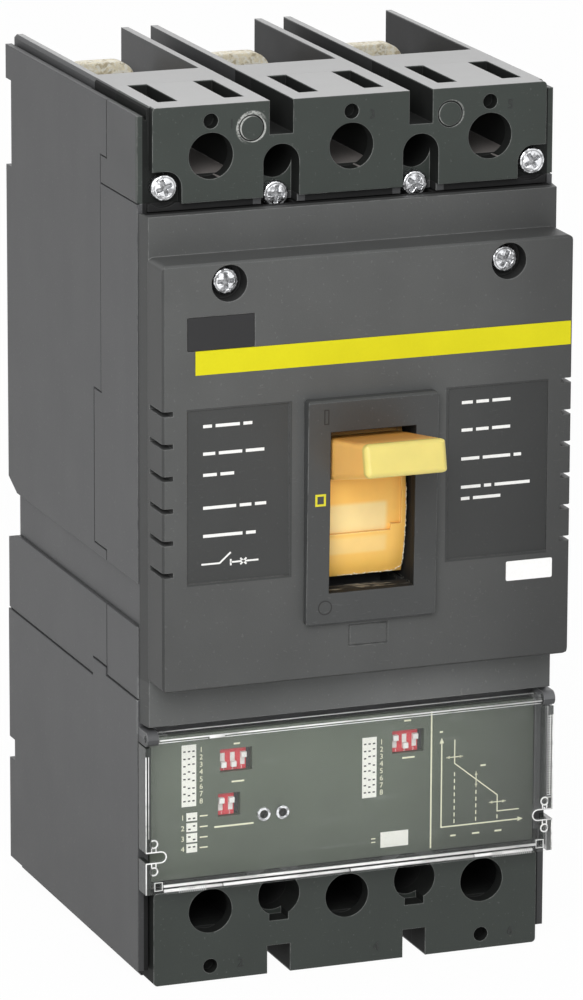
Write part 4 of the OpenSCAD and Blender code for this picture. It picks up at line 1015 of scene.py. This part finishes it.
class BREAKER_OT_settings_print(bpy.types.Operator):
    """Prints the scales, the trip curve and the number box on the settings panel"""

    bl_idname = "breaker.settings_print"
    bl_label = "Print the Settings Panel"

    def execute(self, context):
        sizes = settings("breaker_print")
        line = sizes.line
        pale, plates = Print(TRIP_FRONT, sizes.lift), Print(TRIP_FRONT, sizes.lift)
        dark = Print(TRIP_FRONT - sizes.lift, sizes.lift)

        def slider(x, height, half, half_height):
            dark.block(x - half, x + half, height - half_height, height + half_height)

        for left, top, last in ((-41.3, 58.55, 43.2), (4.85, 55.65, 40.5)):
            plates.block(left, left + 3.7, last, top)
            pitch = (top - last) / 8.4
            for row, pattern in enumerate(SWITCH_CODES):
                height = top - 1.0 - pitch * (row + 0.35)
                for column, up in enumerate(pattern):
                    slider(left + 0.72 + 1.14 * column, height + 0.45 * up, 0.3, 0.17)
                pale.digits(row + 1, left + 4.5, height - 0.45, sizes.digit)
        for row, (top, low) in enumerate(((41.61, 39.56), (39.07, 36.9), (36.49, 34.27), (33.86, 31.69))):
            plates.block(-40.1, -37.35, low, top)
            for column, up in enumerate(TIME_CODES[row]):
                slider(-39.35 + 1.2 * column, low + 0.62 + 0.75 * up, 0.32, 0.18)
            pale.digits(row + 1, -41.5, low + 0.35, sizes.digit)
            pale.line([(-36.7, low + 1.0), (-34.7, low + 1.0)], line)
        for left, right, height in (
            (-28.1, -26.5, 57.7), (-28.6, -25.4, 48.3), (-33.0, -23.0, 37.4), (15.6, 17.4, 58.9),
            (15.2, 18.4, 49.6), (24.9, 25.7, 55.1), (35.6, 37.0, 45.6), (27.9, 29.3, 28.6),
            (33.6, 35.5, 28.6), (39.5, 41.3, 28.6),
        ):
            pale.line([(left, height), (right, height)], line * 1.3)
        for height in (29.1, 30.0):
            pale.line([(7.3, height), (8.4, height)], line * 0.8)
        plates.block(9.7, 16.9, 27.5, 31.4)
        pale.line([(22.75, 26.0), (22.75, 60.55)], 0.38)
        self.curve(pale, line)
        pale.join("settings_print", ink("pale_ink", tint("ink")), "lever_white")
        plates.join("settings_plates", ink("plate_ink", tint("plates")), "lever_white")
        dark.join("settings_dots", ink("dark_ink", (0.02, 0.022, 0.02, 1)), "panel_grey")
        return {"FINISHED"}

    def curve(self, pale, line):
        """The trip curve over its two axes, with dashed drops and double arrows."""
        pale.line([(25.45, 52.3), (25.45, 31.0), (46.0, 31.0)], line)
        pale.line([(28.84, 52.8), (28.84, 46.82), (40.1, 37.69), (40.1, 33.58), (45.8, 33.58)], line * 0.8)
        pale.arrow(25.45, 53.6, 0, 1, 1.4)
        pale.arrow(46.9, 31.0, 1, 0, 1.4)
        for x, top in ((28.84, 46.0), (34.5, 41.0), (40.1, 33.0)):
            for low in np.arange(31.7, top - 1.0, 1.7):
                pale.line([(x, low), (x, low + 1.0)], line * 0.8)
        for x, height, dx, dz in ((28.84, 48.45, 2.2, 0), (40.15, 35.95, 2.2, 0), (34.5, 42.2, 0, 2.0)):
            ends = [(x - dx, height - dz), (x + dx, height + dz)]
            pale.line(ends, line * 0.7)
            pale.arrow(*ends[1], dx, dz, 0.9)
            pale.arrow(*ends[0], -dx, -dz, 0.9)


class BREAKER_OT_front_print(bpy.types.Operator):
    """Adds the bare nameplate, the ruled data plates, the sticker and the signs round the handle"""

    bl_idname = "breaker.front_print"
    bl_label = "Print the Front"

    def execute(self, context):
        sizes = settings("breaker_print")
        white = ink("white_ink", tint("label_ink"))
        labels = Print(LABEL_FRONT, sizes.lift)
        rows = (
            (-41.4, 139.1, (2.2, 6.0, 2.2)), (-41.4, 132.5, (3.0, 5.8, 4.6)), (-41.4, 127.4, (3.4, 3.4)),
            (-41.4, 119.5, (8.2, 2.9, 2.8)), (-41.4, 112.7, (9.8, 2.4)), (23.5, 139.4, (2.8, 3.2, 4.6)),
            (23.5, 132.7, (2.8, 3.2, 4.6)), (23.5, 125.7, (4.6, 7.0, 1.9)), (23.5, 118.8, (5.0, 1.8, 9.0)),
            (23.5, 116.0, (2.2, 7.0)),
        )
        for left, base, words in rows:
            for word in words:
                height = base + sizes.word_rise
                labels.line([(left, height), (left + word, height)], sizes.rule)
                left += word + sizes.word_gap
        symbol = (
            [(-41.8, 107.0), (-37.3, 107.0), (-34.5, 109.4)],
            [(-34.5, 107.75), (-34.5, 106.2)],
            [(-34.5, 107.0), (-27.6, 107.0)],
            [(-32.1, 107.75), (-30.6, 106.25)],
            [(-32.1, 106.25), (-30.6, 107.75)],
        )
        for points in symbol:
            labels.line(points, 0.42)
        labels.join("label_print", white, "lever_white")

        plate = tablet(rectangle(-45.3, -28.8, rise(158.4), rise(166.3), 0.3), LABEL_FRONT, 0.22, 0.06)
        black = plain_plastic("nameplate_black", (0.007, 0.007, 0.008, 1), 3, 0.4)
        joined("nameplate", [plate], CASE_BODY, black)
        sticker = tablet(rectangle(35.15, 47.0, rise(95.9), rise(100.7), 0.4), PANEL_FRONT, 0.12, 0.04)
        joined("sticker", [sticker], CASE_BODY, paper())

        square = [(-14.2, 121.85), (-12.05, 121.85), (-12.05, 119.45), (-14.2, 119.45), (-14.2, 121.85)]
        shut = [(-12.35, 142.4), (-11.35, 142.4), (-11.35, 139.0), (-12.35, 139.0), (-12.35, 142.4)]
        trip_mark, on_off_marks = Print(0, 0.06), Print(0, 0.05)
        trip_mark.line(square, 0.52)
        on_off_marks.line(shut, 0.26)
        on_off_marks.line(circle_points(-11.65, 94.25, 1.65), 0.26)
        for name, marks, material, slot in (
            ("square_mark", trip_mark, ink("yellow_ink", (0.62, 0.57, 0.02, 1)), "strip_yellow"),
            ("position_marks", on_off_marks, ink("groove_black", (0.012, 0.012, 0.012, 1)), "block_grey"),
        ):
            for points, _ in marks.parts:
                lean = FRAME_LEAN * (points[:, 2] - FRAME_LOW[2] * MM)
                points[:, 1] += (FRAME_HIGH[1] - FRAME_DEPTH) * MM - lean
            marks.join(name, material, slot)
        return {"FINISHED"}


class BREAKER_OT_pole_digits(bpy.types.Operator):
    """Raises the plain pole digits on both terminal covers"""

    bl_idname = "breaker.pole_digits"
    bl_label = "Raise the Pole Digits"

    def execute(self, context):
        raised = Print(BLOCK_FRONT, settings("breaker_print").raised)
        for pole, x in enumerate(POLES):
            raised.digits(2 * pole + 1, x + 4.4, 207.7, 2.2)
            raised.digits(2 * pole + 2, x + 6.9, 2.6, 2.2)
        raised.join("pole_digits", plain_plastic("raised_grey", (0.016, 0.018, 0.017, 1), 2), "block_grey")
        return {"FINISHED"}


class BREAKER_OT_cover_rims(bpy.types.Operator):
    """Adds the bright beads along the clear cover's edges, slots and eyelets, as painted highlights"""

    bl_idname = "breaker.cover_rims"
    bl_label = "Add the Clear Cover's Rims"

    def execute(self, context):
        face, rail = COVER_LOW[1] + 0.5, COVER_LOW[1]
        side = COVER_HIGH[0]
        beads = []

        def bead(points, radius, y=face):
            beads.append(tube(on_face(risen(points), y), radius))

        # The lower rail and the upper edges, from the left to the right
        for left, right in ((-47.9, -33.2), (-32.9, -0.7), (-0.3, 31.5), (31.8, 46.9)):
            bead([(left, 24.85), (right, 24.85)], 0.40, rail)
        bead([(-48.0, 26.0), (47.9, 26.0)], 0.34, rail)
        bead([(-49.0, 62.2), (49.0, 62.2)], 0.20, rail)
        for left, right in ((-49.0, -36.6), (-32.4, 49.0)):
            bead([(left, 61.45), (right, 61.45)], 0.12)
        bead([(-36.4, 61.9), (-32.6, 61.9)], 0.42, rail)
        bead([(-49.0, 62.7), (49.0, 62.7)], 0.13, COVER_HIGH[1] - 0.4)
        # The side edges, the notches round the latches, the lower corners and the small eyelets
        for s in (-1, 1):
            x = s * (side - 0.1)
            bead([(x, 58.3), (x, 34.6)], 0.16)
            bead([(x, 31.8), (x, 24.1)], 0.16)
            x = s * (side - 0.75)
            bead([(x, 58.3), (x, 38.0)], 0.09)
            turn = np.linspace(math.pi / 2, -math.pi / 2, 9)
            bend = np.stack([s * (48.5 - 1.35 * np.cos(turn)), 33.2 + 1.35 * np.sin(turn)], 1)
            bead(np.concatenate([[(s * side, 34.55)], bend, [(s * side, 31.85)]]), 0.17)
            bead(rectangle(s * 49.1 - 0.95, s * 49.1 + 0.95, 24.9, 26.9)[[0, 1, 2, 3, 0]], 0.13)
            for z in (36.6, 29.8):
                bead(circle_points(s * 50.3, z, 0.95, 20), 0.2)
            for x in (s * 50.3 - 0.55, s * 50.3 + 0.55):
                bead([(x, 35.7), (x, 34.7)], 0.16)
                bead([(x, 31.7), (x, 30.7)], 0.16)
        # The beads are pale as painted highlights
        joined("cover_beads", beads, COVER_BODY, clear_rim(), True)

        # Ribs on the lower rail and the side walls, pale as a painted highlight
        ribs = []
        for left, right in ((-44.1, -37.0), (36.6, 46.6)):
            for x in np.arange(left, right, 0.55):
                ribs.append(tube(on_face(risen([(x, 24.1), (x, 25.5)]), rail - 0.28), 0.12, 6))
        for z in np.arange(37.5, 58.5, 0.62):
            path = on_face(risen([(side - COVER_WALL, z), (side - 0.35, z)]), face)
            ribs.append(tube(path, 0.13, 6))
        latches = []
        for s in (-1, 1):
            turn = np.linspace(math.pi / 2, 1.5 * math.pi, 9)
            nose = np.stack([48.5 + 0.95 * np.cos(turn), rise(33.2) + 0.95 * np.sin(turn)], 1)
            outline = np.concatenate([nose, [(side - 0.2, rise(32.25)), (side - 0.2, rise(34.15))]])
            latches.append(tablet(outline * (s, 1), TRIP_FRONT + 0.3, face - 0.15 - TRIP_FRONT, 0.25))
        black = plain_plastic("latch_black", (0.025, 0.026, 0.025, 1), 2)
        joined("cover_latches", latches, CASE_BODY, black)
        joined("cover_ribs", ribs, COVER_BODY, clear_rim("clear_ribs", 0.35), True)
        return {"FINISHED"}


class BREAKER_OT_flash(bpy.types.Operator):
    """Adds the frayed moulding flash along the handle's shield"""

    bl_idname = "breaker.flash"
    bl_label = "Add the Handle's Flash"

    def execute(self, context):
        """The path runs down the shield's arc beside its right side, round the corner and along the
        lower line. Each of its points is pushed out and along by seeded random steps."""
        shape = settings("breaker_flash")
        rng = np.random.default_rng(7)
        high = box_mm("handle")[1][0] + shape.gap
        count, bend, dip, left_end = 60, 3.2, 0.04, -6.0
        down = np.linspace(shape.top, shape.low, count)
        corner = np.linspace(0, math.pi / 2, 14)[1:]
        across = np.linspace(high - bend, left_end, count)[1:]
        x = np.concatenate([np.full(count, high), high - bend * (1 - np.cos(corner)), across])
        turns = (down, shape.low - dip * np.sin(corner), np.full(count - 1, shape.low - dip))
        radius = SHIELD_RADIUS + 0.12 + rng.uniform(0, shape.fray, len(x))
        x = x + rng.normal(0, shape.fray * 0.35, len(x)) - shape.fray * 0.5
        turn = np.concatenate(turns) + rng.normal(0, shape.fray * 0.4 / SHIELD_RADIUS, len(x))
        path = np.stack([x, PIVOT[1] - radius * np.cos(turn), PIVOT[2] + radius * np.sin(turn)], 1)
        thick = np.where(rng.random(len(x)) < 0.55, 0.03, rng.uniform(0.08, 0.17, len(x)))
        white = ink("flash_white", (0.80, 0.76, 0.62, 1))
        joined("handle_flash", [tube(path, thick, 6)], HANDLE_BODY, white, True)
        return {"FINISHED"}


class BREAKER_OT_stage(bpy.types.Operator):
    """Adds the camera, the floor, the lamps and the world"""

    bl_idname = "breaker.stage"
    bl_label = "Add the Stage"

    def execute(self, context):
        stage = settings("breaker_stage")
        scene = context.scene
        scene.view_settings.view_transform = "Standard"

        target = Vector((AIM[0], AIM[1], rise(AIM[2]))) * MM
        away = Vector((
            -math.sin(stage.yaw) * math.cos(stage.pitch),
            -math.cos(stage.yaw) * math.cos(stage.pitch),
            math.sin(stage.pitch),
        ))
        lens = bpy.data.cameras.new("camera")
        lens.lens = stage.focal
        lens.sensor_width = 36.0
        lens.clip_end = 20.0
        camera = placed("camera", lens)
        camera.location = target + away * stage.distance * MM
        turn = Euler((math.pi / 2 - stage.pitch, 0, -stage.yaw)).to_matrix()
        camera.rotation_euler = (turn @ Euler((0, 0, stage.roll)).to_matrix()).to_euler()
        scene.camera = camera

        world = bpy.data.worlds.new("world")
        world.use_nodes = True
        scene.world = world
        sky = Nodes(world.node_tree)
        inputs = {"Value": sky.seen_by("Camera", "Glossy"), "To Min": stage.world, "To Max": 1.0}
        strength = sky.add("ShaderNodeMapRange", None, inputs)
        light = sky.add("ShaderNodeBackground", None, {"Color": (1, 1, 1, 1), "Strength": strength})
        sky.add("ShaderNodeOutputWorld", None, {"Surface": light})

        for name, place, wide, high in LAMPS:
            lamp = bpy.data.lights.new(name, "AREA")
            lamp.shape = "RECTANGLE"
            lamp.size = wide
            lamp.size_y = high
            lamp.energy = getattr(stage, name)
            holder = placed(name, lamp)
            holder.location = place
            holder.rotation_euler = (-Vector(place)).to_track_quat("-Z", "Y").to_euler()

        finish = Finish("floor_white")
        speck = finish.noise(40, 2)
        matt = finish.shader(base_color=finish.shade((0.93, 0.93, 0.93), 0.99 + speck * 0.02), roughness=0.7)
        glow = finish.add("ShaderNodeEmission", None, {"Color": (1, 1, 1, 1), "Strength": 1.0})
        seen = finish.seen_by("Camera", "Glossy", "Transmission") * stage.floor_glow
        floor_material = finish.done(finish.add("ShaderNodeMixShader", None, {0: seen, 1: matt, 2: glow}))
        span = np.linspace(-FLOOR_REACH, FLOOR_REACH, 9)
        gx, gy = np.meshgrid(span, span, indexing="ij")
        points, faces = grid_mesh(np.stack([gx, gy, np.full_like(gx, FLOOR_Z - 0.02)], 2))
        mesh = bpy.data.meshes.new("floor")
        mesh.from_pydata(points.tolist(), [], faces.tolist())
        mesh.materials.append(floor_material)
        floor = placed("floor", mesh)
        floor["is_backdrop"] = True
        return {"FINISHED"}


class BREAKER_PT_panel(bpy.types.Panel):
    """Lists the breaker's steps and settings"""

    bl_label = "Circuit Breaker"
    bl_idname = "BREAKER_PT_panel"
    bl_space_type = "VIEW_3D"
    bl_region_type = "UI"
    bl_category = "Breaker"

    def draw(self, context):
        for step in STEPS:
            self.layout.operator("breaker." + step)
        for name, group in GROUPS.items():
            area = self.layout.box()
            for setting in group.__annotations__:
                area.prop(getattr(context.scene, name), setting)


STEPS = (
    "mouldings", "handle", "flash", "metal", "switches", "settings_print", "front_print", "pole_digits",
    "cover_rims", "stage",
)
GROUPS = {
    "breaker_finish": BreakerFinish,
    "breaker_print": BreakerPrint,
    "breaker_screw": BreakerScrew,
    "breaker_flash": BreakerFlash,
    "breaker_stage": BreakerStage,
}
CLASSES = (
    *GROUPS.values(), BREAKER_OT_mouldings, BREAKER_OT_handle, BREAKER_OT_flash, BREAKER_OT_metal,
    BREAKER_OT_switches, BREAKER_OT_settings_print, BREAKER_OT_front_print, BREAKER_OT_pole_digits,
    BREAKER_OT_cover_rims, BREAKER_OT_stage, BREAKER_PT_panel,
)


def register():
    for kind in CLASSES:
        bpy.utils.register_class(kind)
    for name, group in GROUPS.items():
        setattr(bpy.types.Scene, name, bpy.props.PointerProperty(type=group))


def unregister():
    for name in GROUPS:
        delattr(bpy.types.Scene, name)
    for kind in reversed(CLASSES):
        bpy.utils.unregister_class(kind)


def main():
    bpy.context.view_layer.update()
    register()
    for step in STEPS:
        getattr(bpy.ops.breaker, step)()


if __name__ == "__main__":
    main()
